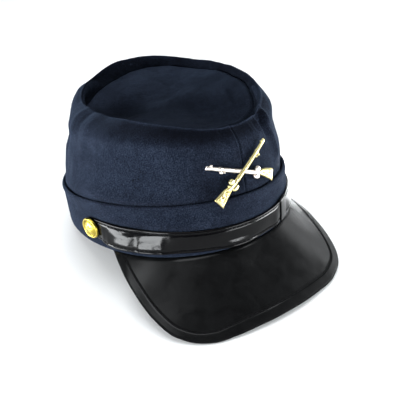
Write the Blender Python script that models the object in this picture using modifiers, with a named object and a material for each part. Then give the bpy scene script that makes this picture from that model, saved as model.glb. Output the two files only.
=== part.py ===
"""Kepi cap: a cloth forage cap with a sunken round top, a turned-up cloth cuff,
a stiff peak, a chin strap between two metal buttons and a crossed-rifles badge.

The cap is modelled upright in its own frame (millimetres, X to the wearer's left,
-Y to the front, rim plane at Z = 0) and then laid down as it rests on a table:
on the two lower corners of the peak and on the back of the cuff.
"""
import math

import bmesh
import bpy
import numpy as np
from mathutils import Matrix, Vector

MM = 0.001

# ---------------------------------------------------------------- sizes (mm, degrees)
CLOTH = 1.5            # crown cloth with its lining layer
CUFF_CLOTH = 2.0       # doubled cloth of the turned-up cuff
STRAP_THICK = 1.5
PEAK_THICK = 2.0
GAP = 0.35             # clearance between neighbouring pieces

CUFF_HEIGHT = 36.6     # height of the cuff at the middle of the front and back

# Outlines seen from above. half_r and half_l are the half widths on the wearer's
# right (-X) and left (+X), square swells the outline between the axes.
#          half_r  half_l  front   back   square
OUTLINE = {
    "cuff_rim":  (85.6, 85.1, 98.6, 101.0, 0.015),
    "cuff_top":  (89.4, 86.8, 101.1, 104.2, -0.025),
    "wall_rim":  (82.5, 82.5, 96.0, 98.4, 0.012),
    "wall_base": (81.6, 81.6, 97.8, 99.0, -0.020),
    "wall_low":  (79.0, 79.0, 96.1, 96.1, -0.020),
    "wall_mid":  (75.2, 75.2, 94.6, 87.6, -0.015),
    "shoulder":  (66.6, 66.6, 89.9, 76.5, 0.030),
    "crest":     (56.0, 62.0, 85.2, 71.1, 0.030),
    "crease":    (53.0, 59.5, 79.6, 66.0, 0.030),
}
# Heights of the same rings: at the front and the back, lifted at the sides, leaning
# to the wearer's left, twisted, and with a slow wave.
#          front   back   side   lean  twist  wave
HEIGHT = {
    "cuff_rim":  (0.0, 0.0, 0.0, 0.0, 0.0, 0.0),
    "cuff_top":  (37.4, 35.8, -1.2, -1.5, 0.0, 0.0),
    "wall_rim":  (1.2, 1.2, 0.0, 0.0, 0.0, 0.0),
    "wall_base": (36.4, 34.8, -1.2, -1.5, 0.0, 0.0),
    "wall_low":  (58.2, 60.3, 0.0, 0.0, 0.0, 0.0),
    "wall_mid":  (68.0, 76.7, 0.0, 2.2, -0.5, 0.4),
    "shoulder":  (76.1, 106.0, 0.9, 6.5, -1.5, 0.9),
    "crest":     (80.7, 110.4, 0.9, 7.2, -1.7, 1.0),
    "crease":    (77.8, 100.6, 0.9, 7.2, -1.7, 1.0),
}
WAVE_COS, WAVE_SIN, WAVE_MIX = -1.9, -1.5, 1.0
# The cuff's top edge stands off the crown at the sides, and is drawn in to it behind.
CUFF_TUCK = (
    # angle  drawn in
    (-180.0, 1.8), (-128.0, 2.5), (-98.0, 0.0), (40.0, 0.0), (66.0, 2.4), (130.0, 2.2), (180.0, 1.8),
)

# Folds and dents of the soft crown wall: where they are, how far they reach round and
# up, and how far the cloth stands out (or in).
FOLDS = (
    # angle  height  round  up    out
    (30.0, 64.0, 4.2, 22.0, 1.6),    # ridge running down on the wearer's left
    (24.5, 76.0, 4.2, 9.0, -2.8),    # hollow beside it, under the rim
    (-17.5, 48.0, 4.5, 6.0, -1.6),   # dent beside the badge
    (-70.0, 52.0, 12.0, 9.0, -1.2),  # slack above the cuff on the wearer's right
    (62.0, 70.0, 9.0, 16.0, -1.4),
    (118.0, 60.0, 14.0, 14.0, -1.3),
    (-140.0, 74.0, 15.0, 16.0, -1.4),
    (172.0, 52.0, 12.0, 10.0, -1.2),
    # slow unevenness of the rolled rim and the shoulder
    (152.0, 110.0, 22.0, 12.0, 1.6),
    (-156.0, 106.0, 14.0, 10.0, -1.2),
    (-138.0, 97.0, 10.0, 8.0, 2.4),
    (-120.0, 84.0, 10.0, 10.0, -1.6),
    (108.0, 105.0, 25.0, 8.0, -0.9),
    (52.0, 84.0, 10.0, 12.0, 1.4),
    (47.0, 55.0, 9.0, 12.0, 0.9),
)

TOP_SAG = 2.5          # how far the middle of the round top hangs below its seam

PEAK_END = 66.6        # the peak is sewn in from -66.6 to 66.6 degrees round the front
PEAK_FLANGE = 8.0      # height of its sewing flange inside the cap
PEAK_SLOPE = 48.8      # fall of the peak at the middle of the front
PEAK_SLOPE_SIDE = 14.3 # less fall towards the sides, per square radian
PEAK_SPREAD = 0.41     # how much its rulings fan out with the angle
# Reach of the peak along its surface, by the angle round the front.
PEAK_REACH = (
    # angle  reach
    (0.0, 55.3), (10.1, 55.8), (20.2, 57.1), (30.3, 58.8), (40.4, 57.4),
    (48.4, 50.7), (55.5, 35.4), (60.5, 20.0), (66.6, 1.2),
)

STRAP_WIDTH = 15.4
STRAP_MID_FRONT = 9.8  # height of the strap's middle at the front
STRAP_RISE = (4.0, 3.2)  # how much higher it runs at the sides: sine squared and to the fourth
STRAP_ROUND = 7.0      # its ends are rounded under the buttons

BUTTON_ANGLES = (-73.8, 79.0)  # the buttons, round from the front to each side
BUTTON_HEIGHT = 16.6
BUTTON_RADIUS = 8.0
BUTTON_POST = 1.5

KEEPER_ANGLE = 22.8    # middle of the keeper loop, on the wearer's left
KEEPER_HALF = 2.5      # half its width, in degrees
KEEPER_WALL = 0.7

BADGE_LENGTH = 54.5    # each rifle
BADGE_CROSS = 27.6     # angle of each rifle to the badge's own horizontal
BADGE_TURN = 8.2       # the badge is pinned on a little turned
BADGE_BEND = 140.0     # radius the badge is curved to
BADGE_AT = (-1.9, 52.4)  # x and height of the crossing
BADGE_STANDOFF = 1.0

SINK = 0.5             # the cuff's hem is pressed flat by this much where it rests

NAVY = (0.010, 0.016, 0.032, 1.0)
NAVY_TOP = (0.012, 0.019, 0.038, 1.0)
BLACK = (0.006, 0.006, 0.007, 1.0)
BRASS = (0.78, 0.52, 0.12, 1.0)
PALE_GOLD = (0.80, 0.68, 0.40, 1.0)
STEEL = (0.55, 0.54, 0.52, 1.0)


# ---------------------------------------------------------------- curves and surfaces
def spline(knots, values, at):
    """Natural cubic through values (one row a knot), read at the given places."""
    knots = np.asarray(knots, float)
    values = np.asarray(values, float)
    flat = values.reshape(len(knots), -1)
    h = np.diff(knots)
    n = len(knots)
    a = np.zeros((n, n))
    b = np.zeros((n, flat.shape[1]))
    a[0, 0] = a[-1, -1] = 1.0
    for i in range(1, n - 1):
        a[i, i - 1], a[i, i], a[i, i + 1] = h[i - 1], 2 * (h[i - 1] + h[i]), h[i]
        b[i] = 6 * ((flat[i + 1] - flat[i]) / h[i] - (flat[i] - flat[i - 1]) / h[i - 1])
    m = np.linalg.solve(a, b)
    at = np.atleast_1d(np.asarray(at, float))
    k = np.clip(np.searchsorted(knots, at) - 1, 0, n - 2)
    t0, t1 = (knots[k + 1] - at)[:, None], (at - knots[k])[:, None]
    hk = h[k][:, None]
    out = (
        m[k] * t0**3 / (6 * hk) + m[k + 1] * t1**3 / (6 * hk)
        + (flat[k] / hk - m[k] * hk / 6) * t0
        + (flat[k + 1] / hk - m[k + 1] * hk / 6) * t1
    )
    return out.reshape((len(at),) + values.shape[1:])


def eased(table, at):
    """Reads a table of places and values, easing from each to the next."""
    place, value = np.array(table).T
    at = np.clip(at, place[0], place[-1])
    k = np.clip(np.searchsorted(place, at) - 1, 0, len(place) - 2)
    t = (at - place[k]) / (place[k + 1] - place[k])
    return value[k] + (value[k + 1] - value[k]) * t * t * (3 - 2 * t)


def ring(name, th):
    """Points of a named ring at the angles th, 0 at the front, +90 degrees at +X."""
    half_r, half_l, front, back, square = OUTLINE[name]
    z_front, z_back, side, lean, twist, wave = HEIGHT[name]
    s, c = np.sin(th), np.cos(th)
    swell = 1 + square * np.sin(2 * th) ** 2
    x = np.where(s < 0, half_r, half_l) * s * swell
    y = np.where(c > 0, -front, -back) * c * swell
    if name == "cuff_top":
        tuck = eased(CUFF_TUCK, np.degrees(th))
        size = np.hypot(x, y)
        x, y = x * (1 - tuck / size), y * (1 - tuck / size)
    z = (z_front * (1 + c) + z_back * (1 - c)) / 2 + side * s**2 + lean * s
    z = z + twist * np.sin(2 * th) + wave * (
        WAVE_COS * (np.cos(3 * th) - c) + WAVE_SIN * (np.sin(3 * th) + s)
        + WAVE_MIX * 2 * c * s**2
    )
    return np.stack([x, y, z], -1)


def cuff(th, height):
    """Outer face of the cuff."""
    t = (np.asarray(height, float) / CUFF_HEIGHT)[..., None]
    return ring("cuff_rim", th) * (1 - t) + ring("cuff_top", th) * t


def cuff_normal(th, height):
    d = 1e-3
    along = cuff(th + d, height) - cuff(th - d, height)
    up = cuff(th, height + d) - cuff(th, height - d)
    n = np.cross(along, up)
    return n / np.linalg.norm(n, axis=-1, keepdims=True)


def strap_mid(th):
    return STRAP_MID_FRONT + STRAP_RISE[0] * np.sin(th) ** 2 + STRAP_RISE[1] * np.sin(th) ** 4


def strap_lift(th):
    """Clearance under the strap: it rides over the keeper's back."""
    bump = np.exp(-((np.degrees(th) - KEEPER_ANGLE) / 7.0) ** 4)
    return GAP + (KEEPER_WALL + GAP + 0.1) * bump


def folded(rows, th):
    """Rows of wall points, pushed in and out along their own normals by the folds."""
    rows = np.asarray(rows)
    along = np.roll(rows, -1, axis=1) - np.roll(rows, 1, axis=1)
    up = np.gradient(rows, axis=0)
    normal = np.cross(along, up)
    normal /= np.linalg.norm(normal, axis=2, keepdims=True)
    degrees = np.degrees(th)
    out = np.zeros(rows.shape[:2])
    for angle, height, wide, high, depth in FOLDS:
        off = (degrees - angle + 180) % 360 - 180
        out += depth * np.exp(-(off / wide) ** 2 - ((rows[..., 2] - height) / high) ** 2)
    # the wall is held by the cuff below and by the seam of the round top
    held = np.clip((rows[..., 2] - CUFF_HEIGHT) / 8, 0, 1)
    held[-1:] = 0
    return rows + normal * (out * held)[..., None]


# ---------------------------------------------------------------- scene helpers
for old in list(bpy.data.objects):
    bpy.data.objects.remove(old, do_unlink=True)

cap_parts = bpy.data.collections.new("kepi_cap")
cutters = bpy.data.collections.new("cutters")
bpy.context.scene.collection.children.link(cap_parts)
bpy.context.scene.collection.children.link(cutters)

cap = bpy.data.objects.new("cap_axis", None)
cap_parts.objects.link(cap)


def material(name, colour, roughness, metallic=0.0):
    mat = bpy.data.materials.new(name)
    mat.use_nodes = True
    bsdf = mat.node_tree.nodes["Principled BSDF"]
    bsdf.inputs["Base Color"].default_value = colour
    bsdf.inputs["Roughness"].default_value = roughness
    bsdf.inputs["Metallic"].default_value = metallic
    return mat


def add(name, mesh, mat=None, collection=None, parent=True):
    obj = bpy.data.objects.new(name, mesh)
    (collection or cap_parts).objects.link(obj)
    if parent:
        obj.parent = cap
    if mat is not None:
        mesh.materials.append(mat)
    return obj


def loft(name, rows, mat, close_round=False, tip=None, smooth=True):
    """Open surface through rows of points (mm); tip closes the last row on a point."""
    bm = bmesh.new()
    grid = [[bm.verts.new(Vector(p) * MM) for p in row] for row in rows]
    n = len(rows[0])
    for lower, upper in zip(grid[:-1], grid[1:]):
        for i in range(n if close_round else n - 1):
            j = (i + 1) % n
            bm.faces.new((lower[i], lower[j], upper[j], upper[i]))
    if tip is not None:
        centre = bm.verts.new(Vector(tip) * MM)
        for i in range(n):
            bm.faces.new((grid[-1][i], grid[-1][(i + 1) % n], centre))
    mesh = bpy.data.meshes.new(name)
    bm.to_mesh(mesh)
    bm.free()
    obj = add(name, mesh, mat)
    if smooth:
        mesh.shade_smooth()
        mesh.set_sharp_from_angle(angle=math.radians(50))
    return obj


def solidify(obj, thickness, offset=-1.0):
    mod = obj.modifiers.new("thickness", "SOLIDIFY")
    mod.thickness = thickness * MM
    mod.offset = offset
    mod.use_even_offset = True
    return mod


def boolean(obj, other, operation="DIFFERENCE"):
    mod = obj.modifiers.new(operation.lower(), "BOOLEAN")
    mod.operation = operation
    mod.object = other
    mod.solver = "EXACT"
    return mod


def as_cutter(obj):
    obj.hide_render = True
    obj.display_type = "WIRE"
    return obj


def frame_on(point, normal, turn=0.0):
    """Placement with local Z along the normal and local Y as upright as it can be."""
    z = Vector(normal).normalized()
    x = Vector((0, 0, 1)).cross(z).normalized()
    y = z.cross(x)
    m = Matrix((x, y, z)).transposed().to_4x4()
    return Matrix.Translation(Vector(point) * MM) @ m @ Matrix.Rotation(math.radians(turn), 4, "Z")


def cylinder(name, radius, z0, z1, matrix, sides=20, collection=None, mat=None):
    bm = bmesh.new()
    bmesh.ops.create_cone(bm, cap_ends=True, segments=sides, radius1=radius * MM,
                          radius2=radius * MM, depth=(z1 - z0) * MM)
    bmesh.ops.translate(bm, verts=bm.verts, vec=(0, 0, (z0 + z1) / 2 * MM))
    mesh = bpy.data.meshes.new(name)
    bm.to_mesh(mesh)
    bm.free()
    obj = add(name, mesh, mat, collection)
    obj.matrix_local = matrix
    return obj


# ---------------------------------------------------------------- cloth
cloth = material("navy_cloth", NAVY, 0.95)
top_cloth = material("navy_top_cloth", NAVY_TOP, 0.95)
cuff_cloth = material("navy_cuff_cloth", NAVY, 0.95)

ROUND = 72
around = np.linspace(-math.pi, math.pi, ROUND, endpoint=False)
WALL_ROUND = 90
wall_around = np.linspace(-math.pi, math.pi, WALL_ROUND, endpoint=False)

wall_names = ("wall_rim", "wall_base", "wall_low", "wall_mid", "shoulder", "crest", "crease")
wall_knots = (0.0, 34.0, 58.0, 72.0, 92.0, 99.0, 106.0)
wall_rings = np.array([ring(n, wall_around) for n in wall_names])
# two more rings round the roll, so that it turns over smoothly
wall_rows = spline(wall_knots, wall_rings,
                   (0.0, 34.0, 42.0, 50.0, 58.0, 66.0, 74.0, 82.0, 88.0, 92.5, 96.0, 99.0, 101.5, 106.0))
crown_wall = loft("crown_wall", folded(wall_rows, wall_around), cloth, close_round=True)
solidify(crown_wall, CLOTH)

# The round top lies inside the crease and sags a little.
crease = ring("crease", around)
centre = crease.mean(axis=0)
radial = crease[:, :2] - centre[:2]
reach = np.linalg.norm(radial, axis=1, keepdims=True)


def top_row(f):
    scale = (reach * f - 0.5 * (f > 0.99)) / reach
    xy = centre[:2] + radial * scale
    z = centre[2] + (crease[:, 2] - centre[2]) * f - TOP_SAG * (1 - f * f)
    return np.column_stack([xy, z - 0.2])


crown_top = loft("crown_top", [top_row(f) for f in (1.0, 0.86, 0.62, 0.34)], top_cloth,
                 close_round=True, tip=(centre[0], centre[1], centre[2] - TOP_SAG - 0.2))
solidify(crown_top, CLOTH)

cuff_heights = (0.0, 9.0, 18.0, 27.0, CUFF_HEIGHT)
band = loft("band", [cuff(around, np.full(ROUND, h)) for h in cuff_heights], cuff_cloth,
            close_round=True)
solidify(band, CUFF_CLOTH)

# ---------------------------------------------------------------- peak
vinyl = material("black_peak_vinyl", BLACK, 0.22)
angles = [a for a, _ in PEAK_REACH]
reaches = [r for _, r in PEAK_REACH]
peak_angles = [-a for a in reversed(angles)] + angles[1:]
peak_reaches = list(reversed(reaches)) + reaches[1:]
steps = np.arange(len(peak_angles), dtype=float)
fine = np.linspace(0, steps[-1], 39)
peak_th = np.radians(spline(steps, peak_angles, fine))
peak_len = np.maximum(spline(steps, peak_reaches, fine), 1.0)

end_taper = np.clip((np.radians(PEAK_END) - np.abs(peak_th)) / 0.35, 0, 1)
rim_out = ring("cuff_rim", peak_th)
outward = cuff_normal(peak_th, np.zeros_like(peak_th))
outward[:, 2] = 0
outward /= np.linalg.norm(outward, axis=1, keepdims=True)
slope = np.radians(PEAK_SLOPE - PEAK_SLOPE_SIDE * peak_th**2)
fan = PEAK_SPREAD * peak_th
ruling = np.column_stack([np.sin(fan) * np.cos(slope), -np.cos(fan) * np.cos(slope), -np.sin(slope)])


def peak_at(inset, height):
    p = rim_out - outward * inset
    p[:, 2] = height
    return p


inside = CUFF_CLOTH + CLOTH + 3 * GAP + 1.1
flange_top = 2.0 + (PEAK_FLANGE - 2.0) * end_taper
peak_rows = [
    peak_at(inside, flange_top),
    peak_at(inside, 0.6),
    peak_at(inside - 0.7, -0.45),
    peak_at(0.5, -0.5),
]
for f in (0.0, 0.15, 0.32, 0.5, 0.68, 0.84, 1.0):
    reach_here = 0.9 + (peak_len - 0.9) * f
    row = rim_out + ruling * reach_here[:, None]
    row[:, 2] -= 0.3 * (1 - f)
    peak_rows.append(row)
peak = loft("peak", peak_rows[::-1], vinyl)
solidify(peak, PEAK_THICK)

# ---------------------------------------------------------------- chin strap and keeper
patent = material("black_patent_strap", BLACK, 0.12)
button_first, button_last = (math.radians(a) for a in BUTTON_ANGLES)
end_run = math.radians(STRAP_ROUND / 1.72)
end_steps = end_run * np.array([0.35, 0.65, 0.85, 0.96, 1.0])
strap_th = np.concatenate([button_first - end_steps[::-1],
                           np.linspace(button_first, button_last, 51),
                           button_last + end_steps])
past = np.maximum(button_first - strap_th, strap_th - button_last).clip(0) / end_run
half_width = STRAP_WIDTH / 2 * np.sqrt(np.maximum(1 - past**2, 0.04))


def strap_row(v):
    h = strap_mid(strap_th) + v * half_width
    return cuff(strap_th, h) + cuff_normal(strap_th, h) * (strap_lift(strap_th)[:, None])


chin_strap = loft("chin_strap", [strap_row(v) for v in (-1.0, 0.0, 1.0)], patent)
solidify(chin_strap, STRAP_THICK, offset=1.0)

keeper_stations = np.radians(KEEPER_ANGLE + KEEPER_HALF * np.linspace(-1, 1, 5))
low_n = GAP + KEEPER_WALL / 2
high_n = GAP + KEEPER_WALL + GAP + 0.15 + STRAP_THICK + GAP + KEEPER_WALL / 2
half_v = STRAP_WIDTH / 2 + GAP + KEEPER_WALL / 2
# mid-surface of the loop, around the strap: (across the strap, off the cuff)
loop = [(-half_v, low_n + 0.5), (-half_v + 0.5, low_n), (-3.0, low_n), (3.0, low_n),
        (half_v - 0.5, low_n), (half_v, low_n + 0.5), (half_v, high_n - 0.5),
        (half_v - 0.5, high_n), (3.0, high_n), (-3.0, high_n), (-half_v + 0.5, high_n),
        (-half_v, high_n - 0.5)]
keeper_rows = []
for th in keeper_stations:
    t1 = np.array([th] * len(loop))
    mid = strap_mid(t1)
    n = cuff_normal(t1, mid)
    up = cuff(t1, mid + 1.0) - cuff(t1, mid)
    up /= np.linalg.norm(up, axis=1, keepdims=True)
    v = np.array([q[0] for q in loop])[:, None]
    d = np.array([q[1] for q in loop])[:, None]
    keeper_rows.append(cuff(t1, mid) + up * v + n * d)
keeper_mat = material("black_keeper_vinyl", BLACK, 0.15)
strap_keeper = loft("strap_keeper", keeper_rows, keeper_mat, close_round=True)
solidify(strap_keeper, KEEPER_WALL, offset=0.0)

# ---------------------------------------------------------------- buttons
brass = material("brass_button", BRASS, 0.25, 1.0)
back_of_button = GAP + STRAP_THICK + GAP
# Turned profile, from the top of the dome outward and down to the axis inside the cap.
BUTTON_PROFILE = (
    # radius  height above the button's back
    (0.0, 3.6), (1.6, 3.45), (3.2, 3.0), (4.6, 2.3), (5.6, 1.5),
    (6.1, 1.45), (6.6, 2.1), (7.2, 2.3), (7.7, 2.0), (8.0, 1.3), (7.9, 0.6),
    (7.2, 0.0), (1.5, 0.0), (1.5, -9.8), (4.5, -9.8), (4.5, -10.6), (0.0, -10.6),
)


def turned(name, profile, matrix, mat, steps=28):
    bm = bmesh.new()
    verts = [bm.verts.new((r * MM, 0, z * MM)) for r, z in profile]
    for a, b in zip(verts[:-1], verts[1:]):
        bm.edges.new((a, b))
    mesh = bpy.data.meshes.new(name)
    bm.to_mesh(mesh)
    bm.free()
    obj = add(name, mesh, mat)
    obj.matrix_local = matrix
    mod = obj.modifiers.new("turn", "SCREW")
    mod.steps = mod.render_steps = steps
    mod.use_merge_vertices = True
    mod.merge_threshold = 0.00001
    mod.use_smooth_shade = True
    return obj


for angle, name in ((button_first, "button_right"), (button_last, "button_left")):
    th = np.array([angle])
    h = np.array([BUTTON_HEIGHT])
    normal = cuff_normal(th, h)[0]
    at = cuff(th, h)[0] + normal * back_of_button
    turned(name, BUTTON_PROFILE, frame_on(at, normal), brass)
    hole = as_cutter(cylinder(name + "_hole", BUTTON_POST + 0.5, -11.0, 1.0,
                              frame_on(at, normal), collection=cutters))
    for piece in (chin_strap, band, crown_wall):
        boolean(piece, hole)

# ---------------------------------------------------------------- badge
gold = material("pale_gold_badge", PALE_GOLD, 0.3, 1.0)
# Side view of one rifle: distance from the butt, upper edge and lower edge.
RIFLE = (
    # along  upper  lower
    (0.0, 3.1, -4.3), (0.9, 3.5, -4.0), (5.0, 2.9, -3.0), (10.0, 2.2, -1.6),
    (12.5, 2.6, -1.2), (13.6, 3.5, -1.4), (14.9, 3.3, -3.0), (16.4, 1.9, -3.1),
    (17.6, 1.6, -1.5), (24.0, 1.45, -1.35), (38.0, 1.35, -1.2), (39.0, 1.9, -1.7),
    (40.8, 1.9, -1.7), (41.8, 1.15, -1.0), (50.0, 1.1, -0.95), (51.0, 1.6, -1.2),
    (53.6, 1.5, -1.2), (54.5, 0.9, -0.9),
)


def rifle(name, angle, mirrored, layer):
    """A flat outline given thickness, laid with its middle on the crossing."""
    top = [(a - BADGE_LENGTH / 2, u) for a, u, _ in RIFLE]
    under = [(a - BADGE_LENGTH / 2, l) for a, _, l in RIFLE]
    outline = top + under[::-1]
    ca, sa = math.cos(math.radians(angle)), math.sin(math.radians(angle))
    pts = []
    for x, y in outline:
        px, py = x * ca - y * sa, x * sa + y * ca
        pts.append((-px if mirrored else px, py))
    if not mirrored:
        pts = pts[::-1]
    curve = bpy.data.curves.new(name, "CURVE")
    curve.dimensions = "2D"
    curve.fill_mode = "BOTH"
    curve.extrude = 0.85 * MM
    line = curve.splines.new("POLY")
    line.points.add(len(pts) - 1)
    for point, (x, y) in zip(line.points, pts):
        point.co = (x * MM, y * MM, 0, 1)
    line.use_cyclic_u = True
    flat = bpy.data.objects.new(name + "_curve", curve)
    cap_parts.objects.link(flat)
    bpy.context.view_layer.update()
    mesh = bpy.data.meshes.new_from_object(flat.evaluated_get(bpy.context.evaluated_depsgraph_get()))
    bpy.data.objects.remove(flat, do_unlink=True)
    bm = bmesh.new()
    bm.from_mesh(mesh)
    bmesh.ops.remove_doubles(bm, verts=bm.verts, dist=0.00001)
    bmesh.ops.translate(bm, verts=bm.verts, vec=(0, 0, layer * MM))
    bmesh.ops.recalc_face_normals(bm, faces=bm.faces)
    bm.to_mesh(mesh)
    bm.free()
    mesh.name = name
    return mesh


def bent(mesh):
    """Curve the badge back to the crown's roundness."""
    for v in mesh.vertices:
        v.co.z -= v.co.x**2 / (2 * BADGE_BEND * MM)


lean_back = math.radians(9.0)
badge_normal = Vector((0, -math.cos(lean_back), math.sin(lean_back)))
at_angle = math.asin(BADGE_AT[0] / OUTLINE["wall_low"][1])
wall_at = spline(wall_knots, wall_rings[:, WALL_ROUND // 2], np.linspace(34.0, 72.0, 60))
k = int(np.argmin(abs(wall_at[:, 2] - BADGE_AT[1])))
badge_point = Vector((BADGE_AT[0], wall_at[k, 1], wall_at[k, 2])) + badge_normal * (BADGE_STANDOFF + 0.85)
badge_place = frame_on(badge_point, badge_normal, BADGE_TURN)

badge = add("badge", rifle("rifle_front", BADGE_CROSS, False, 1.3), gold)
badge.matrix_local = badge_place
rear = add("rifle_rear", rifle("rifle_rear", BADGE_CROSS, True, 0.0), gold, cutters)
rear.matrix_local = badge_place
as_cutter(rear)
bent(badge.data)
bent(rear.data)
boolean(badge, rear, "UNION")

clutch_mat = material("steel_clutch", STEEL, 0.4, 1.0)
for side, name in ((-1, "clutch_right"), (1, "clutch_left")):
    # two posts, behind the barrels on both sides of the crossing
    ang, along = math.radians(BADGE_CROSS), 11.0
    px, py = side * along * math.cos(ang), along * math.sin(ang)
    drop = px**2 / (2 * BADGE_BEND)
    place = badge_place @ Matrix.Translation(Vector((px, py, -drop)) * MM)
    post = as_cutter(cylinder(name + "_post", 0.6, -7.6, 0.0 if side < 0 else 1.0, place,
                              sides=10, collection=cutters, mat=gold))
    boolean(badge, post, "UNION")
    hole = as_cutter(cylinder(name + "_hole", 1.1, -9.0, 1.5, place, sides=12, collection=cutters))
    boolean(crown_wall, hole)
    clutch = cylinder(name, 3.6, -8.8, -5.8, place, sides=24, mat=clutch_mat)
    bore = as_cutter(cylinder(name + "_bore", 1.0, -8.2, -5.0, place, sides=12, collection=cutters))
    boolean(clutch, bore)

# ---------------------------------------------------------------- laid on the table
bpy.context.view_layer.update()


def points_of(obj):
    """World-frame points of the evaluated mesh, in mm."""
    ev = obj.evaluated_get(bpy.context.evaluated_depsgraph_get())
    mesh = ev.to_mesh()
    pts = np.empty(len(mesh.vertices) * 3)
    mesh.vertices.foreach_get("co", pts)
    ev.to_mesh_clear()
    pts = pts.reshape(-1, 3)
    m = np.array(ev.matrix_world)
    return (pts @ m[:3, :3].T + m[:3, 3]) / MM


band_points, peak_points = points_of(band), points_of(peak)


def lowest(points, tilt):
    return (-points[:, 1] * math.sin(tilt) + points[:, 2] * math.cos(tilt)).min()


low, high = math.radians(5), math.radians(18)
for _ in range(40):
    tilt = (low + high) / 2
    if lowest(peak_points, tilt) > lowest(band_points, tilt) + SINK:
        high = tilt
    else:
        low = tilt

cap.rotation_euler = (-tilt, 0, 0)
bpy.context.view_layer.update()
everything = np.concatenate([points_of(o) for o in cap_parts.objects if o.type == "MESH"])
box_low, box_high = everything.min(axis=0), everything.max(axis=0)
lift = -lowest(band_points, tilt) - SINK
cap.location = (-(box_low[0] + box_high[0]) / 2 * MM, -(box_low[1] + box_high[1]) / 2 * MM, lift * MM)

# The hem is flat where it rests on the table.
bm = bmesh.new()
bmesh.ops.create_cube(bm, size=0.4)
bmesh.ops.translate(bm, verts=bm.verts, vec=(0, 0, -0.2))
table_mesh = bpy.data.meshes.new("table_cut")
bm.to_mesh(table_mesh)
bm.free()
table_cut = as_cutter(add("table_cut", table_mesh, None, cutters, parent=False))
boolean(band, table_cut)
bpy.context.view_layer.update()

print("tilt %.3f deg, placed at %.3f %.3f %.3f mm" % (
    math.degrees(tilt), *(v / MM for v in cap.location)))
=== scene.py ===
"""Kepi cap: the look of each piece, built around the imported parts.

Everything is worked out in the cap's own frame (millimetres, X to the wearer's left,
-Y to the front, rim plane at Z = 0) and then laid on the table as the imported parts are.
"""
import math

import bmesh
import bpy
import numpy as np
from mathutils import Matrix, Vector, noise


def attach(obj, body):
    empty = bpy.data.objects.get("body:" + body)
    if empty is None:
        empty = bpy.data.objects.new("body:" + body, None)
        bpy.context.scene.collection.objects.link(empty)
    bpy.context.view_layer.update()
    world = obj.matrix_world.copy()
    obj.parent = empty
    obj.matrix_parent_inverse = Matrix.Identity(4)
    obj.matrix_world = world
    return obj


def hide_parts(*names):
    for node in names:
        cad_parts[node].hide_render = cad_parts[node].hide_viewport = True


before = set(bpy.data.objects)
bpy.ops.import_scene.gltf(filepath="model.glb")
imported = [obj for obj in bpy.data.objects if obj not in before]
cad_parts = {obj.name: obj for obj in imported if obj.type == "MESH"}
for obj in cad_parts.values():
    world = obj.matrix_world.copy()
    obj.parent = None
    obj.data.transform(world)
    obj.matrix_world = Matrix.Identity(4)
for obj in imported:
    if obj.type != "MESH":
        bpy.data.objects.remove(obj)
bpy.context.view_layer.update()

# ---------------------------------------------------------------- how the cap lies
TILT = math.radians(10.839)
PLACE = np.array([0.477, 16.568, 18.493])
MM = 0.001
TURN = np.array([
    [1.0, 0.0, 0.0],
    [0.0, math.cos(TILT), math.sin(TILT)],
    [0.0, -math.sin(TILT), math.cos(TILT)],
])


def laid(points):
    """Points of the cap's frame, in mm, as places on the table, in metres."""
    p = np.asarray(points, float) @ TURN.T + PLACE
    p[..., 2] = np.maximum(p[..., 2], 0.0)
    return p * MM


# ---------------------------------------------------------------- camera
CAMERA_AT = (-0.19118, -0.29869, 0.25739)
CAMERA_AZIMUTH, CAMERA_PITCH, CAMERA_ROLL = 34.354, -32.865, 0.435
CAMERA_LENS = 46.76

cam_data = bpy.data.cameras.new("camera")
cam_data.lens = CAMERA_LENS
cam_data.sensor_width = 36.0
cam_data.clip_start = 0.02
cam = bpy.data.objects.new("camera", cam_data)
bpy.context.scene.collection.objects.link(cam)
az, pitch, roll = (math.radians(v) for v in (CAMERA_AZIMUTH, CAMERA_PITCH, CAMERA_ROLL))
ahead = Vector((math.sin(az) * math.cos(pitch), math.cos(az) * math.cos(pitch), math.sin(pitch)))
level = ahead.cross(Vector((0, 0, 1))).normalized()
above = level.cross(ahead)
right = level * math.cos(roll) + above * math.sin(roll)
up = above * math.cos(roll) - level * math.sin(roll)
cam.matrix_world = Matrix.Translation(CAMERA_AT) @ Matrix((right, up, -ahead)).transposed().to_4x4()
bpy.context.scene.camera = cam

# ---------------------------------------------------------------- sizes, as in the parts
CLOTH, CUFF_CLOTH, STRAP_THICK, PEAK_THICK, GAP = 1.5, 2.0, 1.5, 2.0, 0.35
CUFF_HEIGHT = 36.6
#              half_r  half_l  front   back   square
OUTLINE = {
    "cuff_rim":  (85.6, 85.1, 98.6, 101.0, 0.015),
    "cuff_top":  (89.4, 86.8, 101.1, 104.2, -0.025),
    "wall_rim":  (82.5, 82.5, 96.0, 98.4, 0.012),
    "wall_base": (81.6, 81.6, 97.8, 99.0, -0.020),
    "wall_low":  (79.0, 79.0, 96.1, 96.1, -0.020),
    "wall_mid":  (75.2, 75.2, 94.6, 87.6, -0.015),
    "shoulder":  (66.6, 66.6, 89.9, 76.5, 0.030),
    "crest":     (56.0, 62.0, 85.2, 71.1, 0.030),
    "crease":    (53.0, 59.5, 79.6, 66.0, 0.030),
}
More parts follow.
